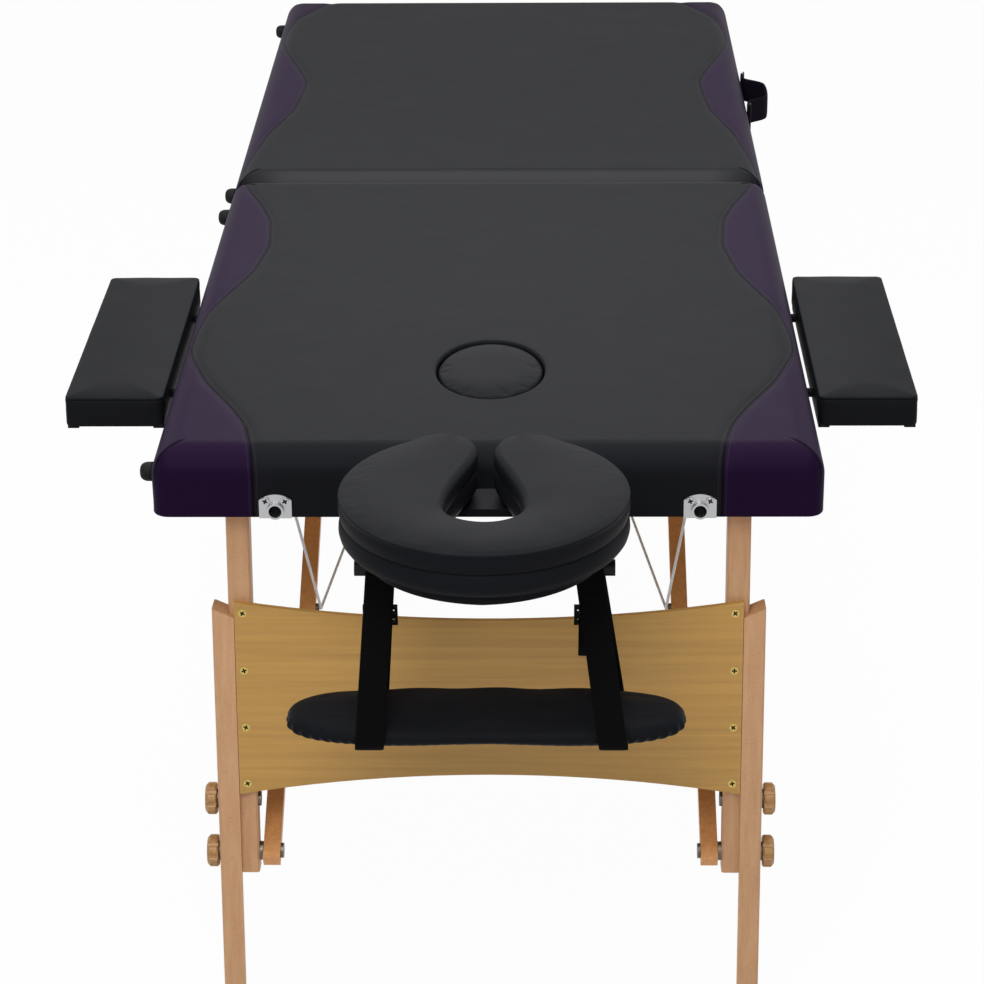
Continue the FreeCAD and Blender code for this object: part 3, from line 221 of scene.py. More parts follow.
def grid_object(name, points, material, wrap_rows=False, wrap_columns=True, fields=None, uv=None):
    """A smooth mesh over a grid of points (rows, columns, 3), its doubles merged and its faces outward."""
    rows, columns = points.shape[:2]
    faces = grid_faces(rows, columns, wrap_rows, wrap_columns)
    mesh = bpy.data.meshes.new(name)
    mesh.vertices.add(rows * columns)
    mesh.vertices.foreach_set("co", flat_floats(points))
    mesh.loops.add(faces.size)
    mesh.loops.foreach_set("vertex_index", faces.ravel().astype(np.int32))
    mesh.polygons.add(len(faces))
    mesh.polygons.foreach_set("loop_start", np.arange(0, faces.size, 4, dtype=np.int32))
    mesh.update(calc_edges=True)
    for label, values in (fields or {}).items():
        layer = mesh.attributes.new(label, "FLOAT", "POINT")
        layer.data.foreach_set("value", flat_floats(values))
    if uv is not None:
        layer = mesh.uv_layers.new(name="weave")
        layer.data.foreach_set("uv", flat_floats(uv.reshape(-1, 2)[faces.ravel()]))
    work = bmesh.new()
    work.from_mesh(mesh)
    bmesh.ops.remove_doubles(work, verts=work.verts, dist=2e-6)
    bmesh.ops.recalc_face_normals(work, faces=work.faces)
    work.to_mesh(mesh)
    work.free()
    mesh.polygons.foreach_set("use_smooth", np.ones(len(mesh.polygons), bool))
    mesh.materials.append(material)
    piece = bpy.data.objects.new(name, mesh)
    bpy.context.collection.objects.link(piece)
    return piece


def vertex_array(mesh):
    """All vertex places of a mesh as an array (count, 3)."""
    values = np.empty(len(mesh.vertices) * 3, np.float32)
    mesh.vertices.foreach_get("co", values)
    return values.reshape(-1, 3).astype(float)


def inflate(piece, reach):
    """Cloth simulation of a filled cover: its sewn points stay, its panels swell by up to reach."""
    mesh = piece.data
    rest = vertex_array(mesh)
    weights = np.empty(len(mesh.vertices), np.float32)
    mesh.attributes["sewn"].data.foreach_get("value", weights)
    group = piece.vertex_groups.new(name="sewn")
    group.add(np.flatnonzero(weights > 0.5).tolist(), 1.0, "REPLACE")
    modifier = piece.modifiers.new("fill", "CLOTH")
    for setting, value in CLOTH.items():
        setattr(modifier.settings, setting, value)
    modifier.settings.effector_weights.gravity = 0.0
    modifier.point_cache.frame_start = 1
    modifier.point_cache.frame_end = FILL_FRAMES
    scene = bpy.context.scene
    for moment in range(1, FILL_FRAMES + 1):
        scene.frame_set(moment)
    shown = piece.evaluated_get(bpy.context.evaluated_depsgraph_get())
    moved = vertex_array(shown.data) - rest
    piece.modifiers.remove(modifier)
    scene.frame_set(1)
    far = np.linalg.norm(moved, axis=1, keepdims=True)
    moved *= np.minimum(1.0, reach / np.maximum(far, 1e-9))
    mesh.vertices.foreach_set("co", flat_floats(rest + moved))
    piece.vertex_groups.clear()
    mesh.update()


def finish_piece(piece, body, slot, *nodes):
    """The piece rides a body and stands for the CAD nodes named; its slot is not used."""
    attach(piece, body)
    if nodes:
        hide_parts(*nodes)
    return piece


def body_of_node(node):
    """The body that the record puts a node on."""
    return next(body for body, nodes in frame["record"]["behaviour"]["bodies"].items() if node in nodes)


def plan_box(node):
    """A node's centre and half sizes in plan, then its lowest and its highest level."""
    low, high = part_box(node)
    centre = np.array([(low.x + high.x) / 2, (low.y + high.y) / 2])
    return centre, (high.x - low.x) / 2, (high.y - low.y) / 2, low.z, high.z


# Shader nodes

def add_node(tree, kind, inputs=None, **settings):
    """One shader node: settings are its properties, inputs the values or links of its sockets."""
    node = tree.nodes.new(kind)
    for name, value in settings.items():
        setattr(node, name, value)
    for name, value in (inputs or {}).items():
        if isinstance(value, bpy.types.NodeSocket):
            tree.links.new(value, node.inputs[name])
        else:
            node.inputs[name].default_value = value
    return node


def calculate(tree, operation, *values, **settings):
    """The result of one math node."""
    inputs = dict(enumerate(values))
    return add_node(tree, "ShaderNodeMath", inputs, operation=operation, **settings).outputs[0]


def remap(tree, value, start=0.0, end=1.0, low=0.0, high=1.0):
    """A value carried from the range start to end over to the range low to high."""
    ends = {"Value": value, "From Min": start, "From Max": end, "To Min": low, "To Max": high}
    return add_node(tree, "ShaderNodeMapRange", ends).outputs[0]


def mix_colours(tree, share, first, second, **settings):
    """The first colour turned into the second by a share."""
    return add_node(tree, "ShaderNodeMix", {0: share, 6: first, 7: second}, data_type="RGBA",
                    **settings).outputs[2]


def object_place(tree):
    """The place on the object, in metres."""
    return add_node(tree, "ShaderNodeTexCoord").outputs["Object"]


def field(tree, name):
    """A value that the mesh carries at its points."""
    return add_node(tree, "ShaderNodeAttribute", attribute_name=name).outputs["Fac"]


def noise(tree, place, size, detail):
    """Noise with spots of a size in metres."""
    spots = add_node(tree, "ShaderNodeTexNoise", {"Vector": place, "Scale": 1.0 / size, "Detail": detail})
    return spots.outputs["Fac"]


def stretched(tree, place, sizes, turn=(0.0, 0.0, 0.0)):
    """A place turned, then measured in units of the sizes along x, y and z."""
    scale = tuple(1.0 / size for size in sizes)
    return add_node(tree, "ShaderNodeMapping", {"Vector": place, "Rotation": turn, "Scale": scale}).outputs[0]


def connect(tree, shader, **sockets):
    """Links results to the shader's sockets."""
    for socket, value in sockets.items():
        tree.links.new(value, shader.inputs[socket.replace("_", " ")])


def relief(tree, height, strength, distance):
    """A normal bent by a height."""
    return add_node(tree, "ShaderNodeBump", {"Height": height, "Strength": strength,
                                             "Distance": distance}).outputs[0]


# Finishes

def new_material(name, shade, roughness, **sockets):
    """A principled material with plain values on its own sockets."""
    material = bpy.data.materials.new(name)
    material.use_nodes = True
    shader = material.node_tree.nodes["Principled BSDF"]
    shader.inputs["Base Color"].default_value = shade
    shader.inputs["Roughness"].default_value = roughness
    for socket, value in sockets.items():
        shader.inputs[socket.replace("_", " ")].default_value = value
    return material, material.node_tree, shader


def pebble_height(tree, place):
    """Height of an embossed leather grain, 1 mm in truth and drawn at 2.2 mm so that it shows."""
    cells = add_node(tree, "ShaderNodeTexVoronoi", {"Vector": place, "Scale": 1.0 / 0.0022})
    return calculate(tree, "ADD", cells.outputs["Distance"], noise(tree, place, 0.018, 3.0))


def handled_roughness(tree, place):
    """The vinyl's roughness, a little uneven over spots of 50 mm."""
    swing = 0.02
    spots = noise(tree, place, 0.05, 4.0)
    return remap(tree, spots, low=VINYL_ROUGHNESS - swing, high=VINYL_ROUGHNESS + swing)


def upholstery_vinyl(name, shade):
    """PVC leather, calendered and embossed: a satin sheet whose fine pebbles break up the gloss."""
    material, tree, shader = new_material(name, shade, VINYL_ROUGHNESS, Specular_IOR_Level=VINYL_GLOSS)
    place = object_place(tree)
    connect(tree, shader, Roughness=handled_roughness(tree, place),
            Normal=relief(tree, pebble_height(tree, place), 0.12, 0.0008))
    return material


def two_tone_vinyl(black, purple):
    """The sewn top cover: black and purple PVC leather with a sunk seam, a row of short stitches on each side of
    it, and a shine where the fold rubs; the seam and the darts are darkened near black in painted shade."""
    material, tree, shader = new_material("two-tone PVC leather", black, VINYL_ROUGHNESS,
                                          Specular_IOR_Level=VINYL_GLOSS)
    place = object_place(tree)
    seam = field(tree, "seam")
    floor, brim = 0.0004, 0.0014
    cloth = mix_colours(tree, remap(tree, seam, -floor, floor), black, purple)
    far = calculate(tree, "ABSOLUTE", seam)
    # The groove's share: depth of the sunk seam and the darts for the bump, and how far painted shade darkens them
    # near black
    groove_and_shade = calculate(tree, "MAXIMUM", remap(tree, far, floor, brim, 1.0, 0.0), field(tree, "dart"))
    # Stitches in thread close to the cover's own shade
    row_offset, pitch, thread = 0.004, 0.0032, 0.0003
    row_edge, gap_edge = 0.001, 0.0006
    aside = calculate(tree, "ABSOLUTE", calculate(tree, "SUBTRACT", far, row_offset))
    row = remap(tree, aside, thread, row_edge, 1.0, 0.0)
    dash = remap(tree, calculate(tree, "PINGPONG", field(tree, "along"), pitch / 2), thread, gap_edge)
    sewn = mix_colours(tree, calculate(tree, "MULTIPLY", row, dash), cloth, linear("26212b"))
    pebbles = calculate(tree, "MULTIPLY", pebble_height(tree, place), 0.16)
    connect(tree, shader,
            Specular_IOR_Level=remap(tree, field(tree, "rubbed"), low=VINYL_GLOSS, high=RUBBED_GLOSS),
            # Painted shade: the seam and the darts mixed towards near black
            Base_Color=mix_colours(tree, groove_and_shade, sewn, linear("050406")),
            Roughness=handled_roughness(tree, place),
            Normal=relief(tree, calculate(tree, "SUBTRACT", pebbles, groove_and_shade), 0.6, 0.0009))
    return material


def oiled_wood(name, light, dark, grain, fleck, roughness=0.42, turn=(0.0, 0.0, 0.0), marks=0.3):
    """Planed wood under thin lacquer: streaks along the grain and short dark pores, with a soft gloss.

    grain and fleck are the sizes in metres of one streak and one pore along x, y and z; marks is how
    far the pores darken."""
    material, tree, shader = new_material(name, light, roughness)
    place = object_place(tree)
    streaks = add_node(tree, "ShaderNodeTexNoise",
                       {"Vector": stretched(tree, place, grain, turn), "Scale": 1.0, "Detail": 4.0,
                        "Roughness": 0.6, "Distortion": 0.4}).outputs["Fac"]
    pores = noise(tree, stretched(tree, place, fleck, turn), 1.0, 1.0)
    wood = mix_colours(tree, remap(tree, streaks, 0.3, 0.75), light, dark)
    pore_shade = (*(0.55 * level for level in dark[:3]), 1.0)
    connect(tree, shader,
            Base_Color=mix_colours(tree, remap(tree, pores, 0.6, 0.72, high=marks), wood, pore_shade),
            Normal=relief(tree, streaks, 0.15, 0.0005))
    return material


def metal(name, shade, roughness):
    """Plated or drawn metal: mirror-like under a fine haze of polishing marks about 3 mm long."""
    material, tree, shader = new_material(name, shade, roughness, Metallic=1.0)
    marks = noise(tree, object_place(tree), 0.003, 3.0)
    connect(tree, shader, Roughness=remap(tree, marks, low=roughness - 0.1, high=roughness + 0.1))
    return material


def moulded(name, shade, roughness, grit):
    """Moulded rubber or plastic: an even body with a fine grit of the given size in metres."""
    material, tree, shader = new_material(name, shade, roughness, Specular_IOR_Level=0.12)
    connect(tree, shader, Normal=relief(tree, noise(tree, object_place(tree), grit, 2.0), 0.1, 0.0003))
    return material


def woven(name, shade, rib):
    """Polypropylene webbing: ribs across the band, each rib bowed, the crests lighter in painted sheen and the
    hollows darker in painted shade.
    """
    material, tree, shader = new_material(name, shade, 0.7, Specular_IOR_Level=0.03)
    cloth = add_node(tree, "ShaderNodeUVMap", uv_map="weave").outputs[0]
    ribs = add_node(tree, "ShaderNodeTexWave",
                    {"Vector": stretched(tree, cloth, (rib, 4.0 * rib, 1.0)), "Scale": 0.32,
                     "Distortion": 0.6, "Detail": 1.0}, bands_direction="X").outputs["Fac"]
    # Painted sheen on the rib crests and painted shade between them
    tone = remap(tree, ribs, low=0.55, high=1.25)
    connect(tree, shader, Base_Color=mix_colours(tree, 1.0, shade, tone, blend_type="MULTIPLY"),
            Normal=relief(tree, ribs, 0.5, 0.0006))
    return material


def stranded_steel():
    """Galvanised wire rope: strands laid round the core catch the light in turn."""
    material, tree, shader = new_material("stranded steel", linear("dcdedf"), 0.5, Metallic=0.1)
    lay = add_node(tree, "ShaderNodeUVMap", uv_map="weave").outputs[0]
    turned = stretched(tree, lay, (0.004, 0.004, 1.0), (0.0, 0.0, 0.7))
    strands = add_node(tree, "ShaderNodeTexWave", {"Vector": turned, "Scale": 0.35}).outputs["Fac"]
    connect(tree, shader, Normal=relief(tree, strands, 0.25, 0.0004))
    return material


def make_finishes():
    """Every finish of the table, by its slot name in the record or by a name of its own."""
    colours = bpy.context.scene.massage_colours
    black = (*colours.black, 1.0)
    purple = (*colours.purple, 1.0)
    along_z = (0.006, 0.006, 0.16)
    pore = (0.0045, 0.004, 0.0009)
    brace_turn = (math.radians(-27.0), 0.0, 0.0)
    return {
        "vinyl_black": upholstery_vinyl("black PVC leather", black),
        "vinyl_purple": upholstery_vinyl("purple PVC leather", purple),
        "vinyl_top": two_tone_vinyl(black, purple),
        "beech": oiled_wood("lacquered beech", (*colours.beech, 1.0), linear("c08d63"), along_z, pore),
        "beech_brace": oiled_wood("lacquered beech brace", linear("e0a062"), linear("c98a4e"), along_z, pore,
                                  turn=brace_turn),
        # Upper links: the same beech painted lighter, painted light against the shade under the table top
        "beech_link_painted_light": oiled_wood("beech link painted lighter against shade", linear("f2b478"), linear("e0a060"), along_z, pore,
                                 turn=brace_turn),
        "panel_ply": oiled_wood("lacquered beech plywood", linear("c1944a"), linear("ad8240"),
                                (0.30, 0.004, 0.006), (0.02, 0.004, 0.0009), marks=0.1),
        "knob_wood": oiled_wood("turned beech", linear("b98a52"), linear("94683a"), (0.004, 0.02, 0.004),
                                (0.001, 0.004, 0.001), roughness=0.36),
        "deck_ply": oiled_wood("sanded birch plywood", linear("c2a474"), linear("a5854f"),
                               (0.006, 0.2, 0.006), (0.001, 0.006, 0.001), roughness=0.6),
        "steel": metal("zinc-plated steel", linear("b9babb"), 0.34),
        "brass": metal("yellow-plated steel", linear("cdb568"), 0.3),
        "bolt": metal("burnished steel", linear("6b6258"), 0.4),
        "rubber": moulded("moulded rubber", linear("1b1b1d"), 0.62, 0.0008),
        "plastic": moulded("injection-moulded nylon", linear("141416"), 0.38, 0.0012),
        "tube": moulded("black powder coat", linear("1d1d1f"), 0.35, 0.0006),
        "webbing": woven("black polypropylene webbing", linear("0b0b0c"), 0.0016),
        "handle_webbing": woven("dark purple webbing", linear("15101b"), 0.0018),
        "cable": stranded_steel(),
        # Painted shade of the screws' cross recesses
        "recess": moulded("recess painted shade", linear("1a140c"), 0.7, 0.001),
    }


def dress_nodes():
    """Every CAD node takes the finish of its slot, or the one that its kind has here."""
    # The upper links take the beech painted lighter against the shade under the table top
    special = {"lower_links": "beech_brace", "upper_links": "beech_link_painted_light", "leg_bolts": "bolt",
               "knee_bolts": "bolt", "headrest_board": "vinyl_black"}
    for row in frame["record"]["subparts"]:
        node = NODES[row["node"]]
        kind = row["node"].removeprefix("head_").removeprefix("foot_")
        finish = special.get(kind, row["material_slot"])
        node.data.materials.clear()
        node.data.materials.append(FINISHES[finish])


# Outlines and lines

def slab_outline(count, half_x, half_y, radius, inset=0.0):
    """A rounded rectangle drawn in by inset, centred on the origin, point for point alike at every inset.

    A parameter runs round the rectangle from the middle of its right side. On the straights the corner's
    centre slides, on the corners its angle turns, and each point is centre plus radius times direction."""
    turn = radius * np.pi
    run_x, run_y = half_x - radius, half_y - radius
    lengths = np.array([run_y, turn, 2 * run_x, turn, 2 * run_y, turn, 2 * run_x, turn, run_y])
    breaks = np.concatenate([[0.0], np.cumsum(lengths)])
    place = np.linspace(0.0, breaks[-1], count, endpoint=False)
    bend = max(radius - inset, 0.002)
    reach_x, reach_y = half_x - inset - bend, half_y - inset - bend
    across = np.interp(place, breaks, reach_x * np.array([1, 1, 1, -1, -1, -1, -1, 1, 1, 1]))
    up = np.interp(place, breaks, reach_y * np.array([0, 1, 1, 1, 1, -1, -1, -1, -1, 0]))
    angle = np.interp(place, breaks, 0.5 * np.pi * np.array([0, 0, 1, 1, 2, 2, 3, 3, 4, 4]))
    return np.stack([across + bend * np.cos(angle), up + bend * np.sin(angle)], axis=-1)


def middle_line(outline, half_length, axis):
    """The line inside an outline that its sides close on: each point's place along axis, held short."""
    line = np.zeros_like(outline)
    line[:, axis] = np.clip(outline[:, axis], -half_length, half_length)
    return line


def ring(plan, centre, level):
    """Points of a plan outline at a level, as one row of a grid."""
    return np.column_stack([plan + centre, np.broadcast_to(level, len(plan))])


def rows_between(first, last, count):
    """Rows that lead from the first to the last in even steps, both included."""
    return [first * (1.0 - share) + last * share for share in np.linspace(0.0, 1.0, count)]


def rounded_path(points, closed, step):
    """A polygon with its corners cut four times at a quarter of each side, then taken in even steps."""
    line = np.array(points, float)
    for _ in range(4):
        ahead = np.roll(line, -1, axis=0)
        pairs = np.stack([0.75 * line + 0.25 * ahead, 0.25 * line + 0.75 * ahead], axis=1)
        cut = pairs.reshape(-1, line.shape[1])
        line = cut if closed else np.vstack([line[:1], cut[:-2], line[-1:]])
    whole = np.vstack([line, line[:1]]) if closed else line
    run = length_along(whole)
    want = np.linspace(0.0, run[-1], max(8, int(run[-1] / step)), endpoint=not closed)
    return np.stack([np.interp(want, run, whole[:, axis]) for axis in range(whole.shape[1])], axis=-1)


def smooth_line(points, count, ease):
    """A line through control points: corners cut four times, then taken by shares of its length that
    crowd towards its end where ease is over 1."""
    line = rounded_path(points, False, 0.001)
    run = length_along(line)
    share = 1.0 - (1.0 - np.linspace(0.0, 1.0, count)) ** ease
    return np.column_stack([np.interp(share * run[-1], run, line[:, axis]) for axis in (0, 1)])


# Table covers

def seam_fields(points, half):
    """Signed distance to the side panel's seam, and the length along it, for points of a half's cover.

    The seam's half width is a smooth curve through the stated pairs. The distance is the excess of |x|
    over it, times the cosine of its slope. The length is the integral of its line plus any drop down a
    face below the edge's level."""
    edge_level, pad = 0.63, 11
    stations = np.array(SEAMS[half], float) * MM
    steps = np.linspace(stations[0, 0], stations[-1, 0], 400)
    width = np.interp(steps, stations[:, 0], stations[:, 1])
    kernel = np.hanning(2 * pad + 1)
    width = np.convolve(np.pad(width, pad, mode="edge"), kernel / kernel.sum(), mode="valid")
    slope = np.gradient(width, steps)
    run = length_along(np.column_stack([steps, width]))
    away = HALVES[half] * (points[..., 1] - FOLD_Y)
    lean = np.interp(away, steps, slope)
    slant = np.sqrt(1.0 + lean ** 2)
    distance = (np.abs(points[..., 0]) - np.interp(away, steps, width)) / slant
    drop = np.maximum(0.0, edge_level - points[..., 2])
    return distance, np.interp(away + distance * lean / slant, steps, run) + drop


def dart_field(points, centre_y, half_x, half_y):
    """1 along the sewn dart that runs from each corner of the top in along the diagonal, 0 elsewhere."""
    reach, fade, width, lowest = 0.036, 0.008, 0.0013, 0.61
    in_x = half_x - np.abs(points[..., 0])
    in_y = half_y - np.abs(points[..., 1] - centre_y)
    aside = np.abs(in_x - in_y) / math.sqrt(2.0)
    inside = np.maximum(in_x, in_y)
    return np.exp(-(aside / width) ** 2) * smooth_step((reach - inside) / fade) * (points[..., 2] > lowest)


def rubbed_field(points, half, half_x):
    """1 on the roll at the fold, where the closed halves press on each other, fading at its ends."""
    roll, fade, end_fade = bpy.context.scene.massage_sizes.edge_roll, 0.012, 0.08
    away = HALVES[half] * (points[..., 1] - FOLD_Y)
    return smooth_step((roll - away) / fade) * smooth_step((half_x - np.abs(points[..., 0])) / end_fade)


def table_cover(half):
    """The sewn cover of one half: skirt, rolled edge, crowned top and, at the head, the face hole.

    Rows of a grid run from under the foam, down the inside of the skirt, round its hem, up its face, over
    the quarter-ellipse roll and in across the top to the hole's ellipse or to the middle line."""
    sizes = bpy.context.scene.massage_sizes
    centre, half_x, half_y, pad_low, top = plan_box(half + "_pad")
    deck, hem, wall_top = pad_low + 0.0004, SKIRT_LOW, top - sizes.edge_drop
    # Insets of the skirt's two faces
    inside, outside = 0.0036, 0.0005
    count = 720
    plan = slab_outline(count, half_x, half_y, sizes.corner)
    middle = middle_line(plan, half_y - half_x, 1)
    holed = half == "head"
    lip = sizes.hole_roll if holed else 0.0

    def edge(inset, level):
        return ring(slab_outline(count, half_x, half_y, sizes.corner, inset), centre, level)

    # Points of the hole lie towards those of the edge, in a plan scaled so that the hole is round
    plug = plan_box("face_plug")[0]
    hole = np.array([HOLE_HALF_X, HOLE_HALF_Y])
    oval = unit((edge(sizes.edge_roll, top)[:, :2] - plug) / hole)

    def inner(grow, level):
        if holed:
            return ring(oval * (hole + grow), plug, level)
        return ring(middle, centre, level)

    rows = rows_between(inner(0.0, deck), edge(inside, deck), 7)
    rows += [edge(inside, level) for level in np.linspace(deck - 0.004, hem + 0.001, 5)]
    rows += [edge(0.003, hem), edge(0.0012, hem), edge(outside, hem + 0.0012)]
    first_wall = len(rows)
    rows += [edge(outside, level) for level in np.linspace(hem + 0.004, wall_top, 14)]
    first_roll = len(rows)
    for turn in quarter_turn(14):
        rows.append(edge(outside + sizes.edge_roll * (1 - math.cos(turn)),
                         wall_top + sizes.edge_drop * math.sin(turn)))
    first_top = len(rows) - 1
    rows += rows_between(rows[-1], inner(lip, top), 76)[1:]
    if holed:
        for turn in quarter_turn(9):
            rows.append(inner(lip * (1 - math.sin(turn)), top - lip * (1 - math.cos(turn))))
        rows += [inner(0.0, level) for level in np.linspace(top - lip - 0.003, deck + 0.002, 5)]
    points = np.stack(rows)

    seam, along = seam_fields(points, half)
    dart = dart_field(points, centre[1], half_x, half_y)
    rubbed = rubbed_field(points, half, half_x)
    seam_reach, dart_depth, dome_height, pull_depth = 0.006, 0.0012, 0.0018, 0.0005
    settle = np.exp(-(seam / seam_reach) ** 2) * sizes.seam_depth + dart * dart_depth
    soft = 0.0004 * ripples(points, 0.22, 4) + 0.0001 * ripples(points, 0.07, 5)
    dome = (1 - (points[..., 0] / half_x) ** 2) * (1 - ((points[..., 1] - centre[1]) / half_y) ** 2)
    points[first_top:, :, 2] += (soft + dome_height * dome)[first_top:]
    points[..., 2] -= (points[..., 2] > wall_top) * settle
    # The face between hem and roll: shallow pulls from the staples along the hem
    face = points[first_wall:first_roll]
    pull = pull_depth * ripples(face, 0.05, 6)
    face[..., :2] += pull[..., None] * unit(plan - middle)[None]
    piece = grid_object(half + "_cover", points, FINISHES["vinyl_top"], wrap_rows=holed,
                        fields={"seam": seam, "along": along, "dart": dart, "rubbed": rubbed})
    finish_piece(piece, half + "_section", "vinyl_black", half + "_pad", half + "_skirt")


# Loose cushions

def lens_rows(edge, line, centre, profile):
    """Rows of a cushion and their levels: each (share, inset, level) of the profile is the outline drawn in
    by inset, moved by share of the way towards its middle line."""
    rows = [ring(edge(inset) * (1.0 - share) + line * share, centre, level)
            for share, inset, level in profile]
    return np.stack(rows), np.array([level for _, _, level in profile])


def filled_cushion(name, points, sewn, reach, body, node):
    """A vinyl cushion over a grid of points, held along its sewn rows and filled, that stands for a node."""
    held = np.broadcast_to(np.asarray(sewn, float)[:, None], points.shape[:2])
    piece = grid_object(name, points, FINISHES["vinyl_black"], fields={"sewn": held})
    inflate(piece, reach)
    return finish_piece(piece, body, "vinyl_black", node)


def closed_under(inset, level, count):
    """The first rows of a profile: a flat underside from the middle line out to the edge."""
    return [(share, inset, level) for share in np.linspace(1.0, 0.0, count)]


def domed_over(inset, level, height, count):
    """The last rows of a profile: a dome over the level, from the edge in to the middle line."""
    return [(share, inset, level + height * crown(share)) for share in np.linspace(0.0, 1.0, count)[1:]]


def bead(inset, level, radius, turns):
    """A sewn edge: half a small circle that stands out of the edge at (inset, level)."""
    return [(0.0, inset - radius * math.sin(turn), level - radius * math.cos(turn)) for turn in turns]


def armrest_wrap(side):
    """A boxed armrest: vinyl drawn over foam and board, flat with crisp sewn edges and a slight crown."""
    centre, half_x, half_y, _, top = plan_box("armrest_pad_" + side)
    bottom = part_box("armrest_board_" + side)[0].z + 0.0044
    count, corner = 360, 0.007
    bead_drop, rim, dome = 0.0028, 0.010, 0.0018

    def edge(inset):
        return slab_outline(count, half_x, half_y, corner, inset)

    line = middle_line(edge(0.0), half_y - half_x, 1)
    profile = closed_under(0.004, bottom, 10)
    profile += [(0.0, 0.0008, bottom + 0.0003), (0.0, -0.0006, bottom + 0.0015)]
    profile += [(0.0, -0.0009, level) for level in np.linspace(bottom + 0.004, top - 0.005, 12)]
    profile += bead(0.0006, top - bead_drop, 0.0012, np.linspace(0.3, 2.6, 6))
    profile += [(0.0, 0.003, top - 0.0012), (0.0, 0.006, top - 0.0006), (0.0, rim, top - 0.0002)]
    profile += domed_over(rim, top, dome, 22)
    points, levels = lens_rows(edge, line, centre, profile)
    on_edge = np.array([share == 0.0 for share, _, _ in profile])
    at_seam = (levels <= bottom + 0.002) | (np.abs(levels - top + bead_drop) < 0.0016)
    points[..., 2] += np.where(levels > top - 0.003, 0.0005, 0.0)[:, None] * ripples(points, 0.06, 11)
    piece = filled_cushion("armrest_wrap_" + side, points, at_seam & on_edge | (levels <= bottom), 0.0016,
                           "armrest_" + side, "armrest_pad_" + side)


def plug_cushion():
    """The face hole's plug: an oval pad with upright sides, a small rolled edge and a low dome."""
    centre, half_x, half_y, low, top = plan_box("face_plug")
    angle = full_turn(200)

    def edge(inset):
        return np.column_stack([(half_x - inset) * np.cos(angle), (half_y - inset) * np.sin(angle)])

    line = middle_line(edge(0.0), half_y - half_x, 1)
    bottom, shoulder = low + 0.0005, top - 0.002
    roll, rise, dome = 0.007, 0.006, 0.003
    profile = closed_under(0.002, bottom, 8)
    profile += [(0.0, 0.0006, bottom + 0.001)]
    profile += [(0.0, 0.0, level) for level in np.linspace(bottom + 0.004, shoulder - rise, 8)]
    for turn in quarter_turn(10):
        profile.append((0.0, roll * (1 - math.cos(turn)), shoulder - rise * (1 - math.sin(turn))))
    profile += domed_over(roll, shoulder, dome, 16)
    points, levels = lens_rows(edge, line, centre, profile)
    piece = filled_cushion("face_plug_cushion", points, levels < bottom + 0.005, 0.001, "face_plug",
                           "face_plug")


def shelf_cushion():
    """The arm shelf: a long oval pillow with a shallow front notch and gathers round its lower edge.

    Its outline is a superellipse whose front is drawn in by a bell curve; its section is a fat lens."""
    centre, half_x, half_y, bottom, top = plan_box("arm_shelf")
    thick = top - bottom
    fullness, notch_depth, notch_width = 0.72, 0.008, 0.07
    angle = full_turn(480)
    across = signed_power(np.cos(angle), fullness)
    deep = signed_power(np.sin(angle), fullness)
    notch = notch_depth * np.exp(-(across * half_x / notch_width) ** 2) * (deep < 0)

    def edge(inset):
        return np.column_stack([(half_x - inset) * across, (half_y - inset) * deep + notch])

    line = middle_line(edge(0.0), half_x - 0.6 * half_y, 0)
    low_roll, high_roll, dome = 0.016, 0.022, 0.08 * thick
    profile = closed_under(low_roll, bottom + 0.001, 10)
    for turn in np.linspace(-0.5 * np.pi, 0.5 * np.pi, 26)[1:]:
        roll, rise = (low_roll, 0.38) if turn < 0 else (high_roll, 0.52)
        profile.append((0.0, roll * (1 - math.cos(turn)), bottom + (0.4 + rise * math.sin(turn)) * thick))
    profile += domed_over(high_roll, top - dome, dome, 18)
    points, levels = lens_rows(edge, line, centre, profile)
    # Gathers: uneven pleats where the lower edge turns, strongest at the two rounded ends
    pitch, drift, deepest = 0.011, 0.13, 0.0014
    run = 2 * np.pi * length_along(edge(0.0))
    pleat = np.sin(run / pitch + 1.5 * np.sin(run / drift))
    strength = deepest * (0.3 + 0.7 * smooth_step((np.abs(across) - 0.55) / 0.3))
    depth = np.exp(-((levels - bottom - 0.25 * thick) / (0.22 * thick)) ** 2)
    gather = depth[:, None] * (strength * pleat)[None]
    points[..., :2] += gather[..., None] * unit(edge(0.0) - line)[None]
    points[..., 2] += 0.0012 * ripples(points, 0.07, 21) * (levels > bottom + 0.6 * thick)[:, None]
    piece = filled_cushion("arm_shelf_cushion", points, levels < bottom + 0.12 * thick, 0.002, "arm_shelf",
                           "arm_shelf")


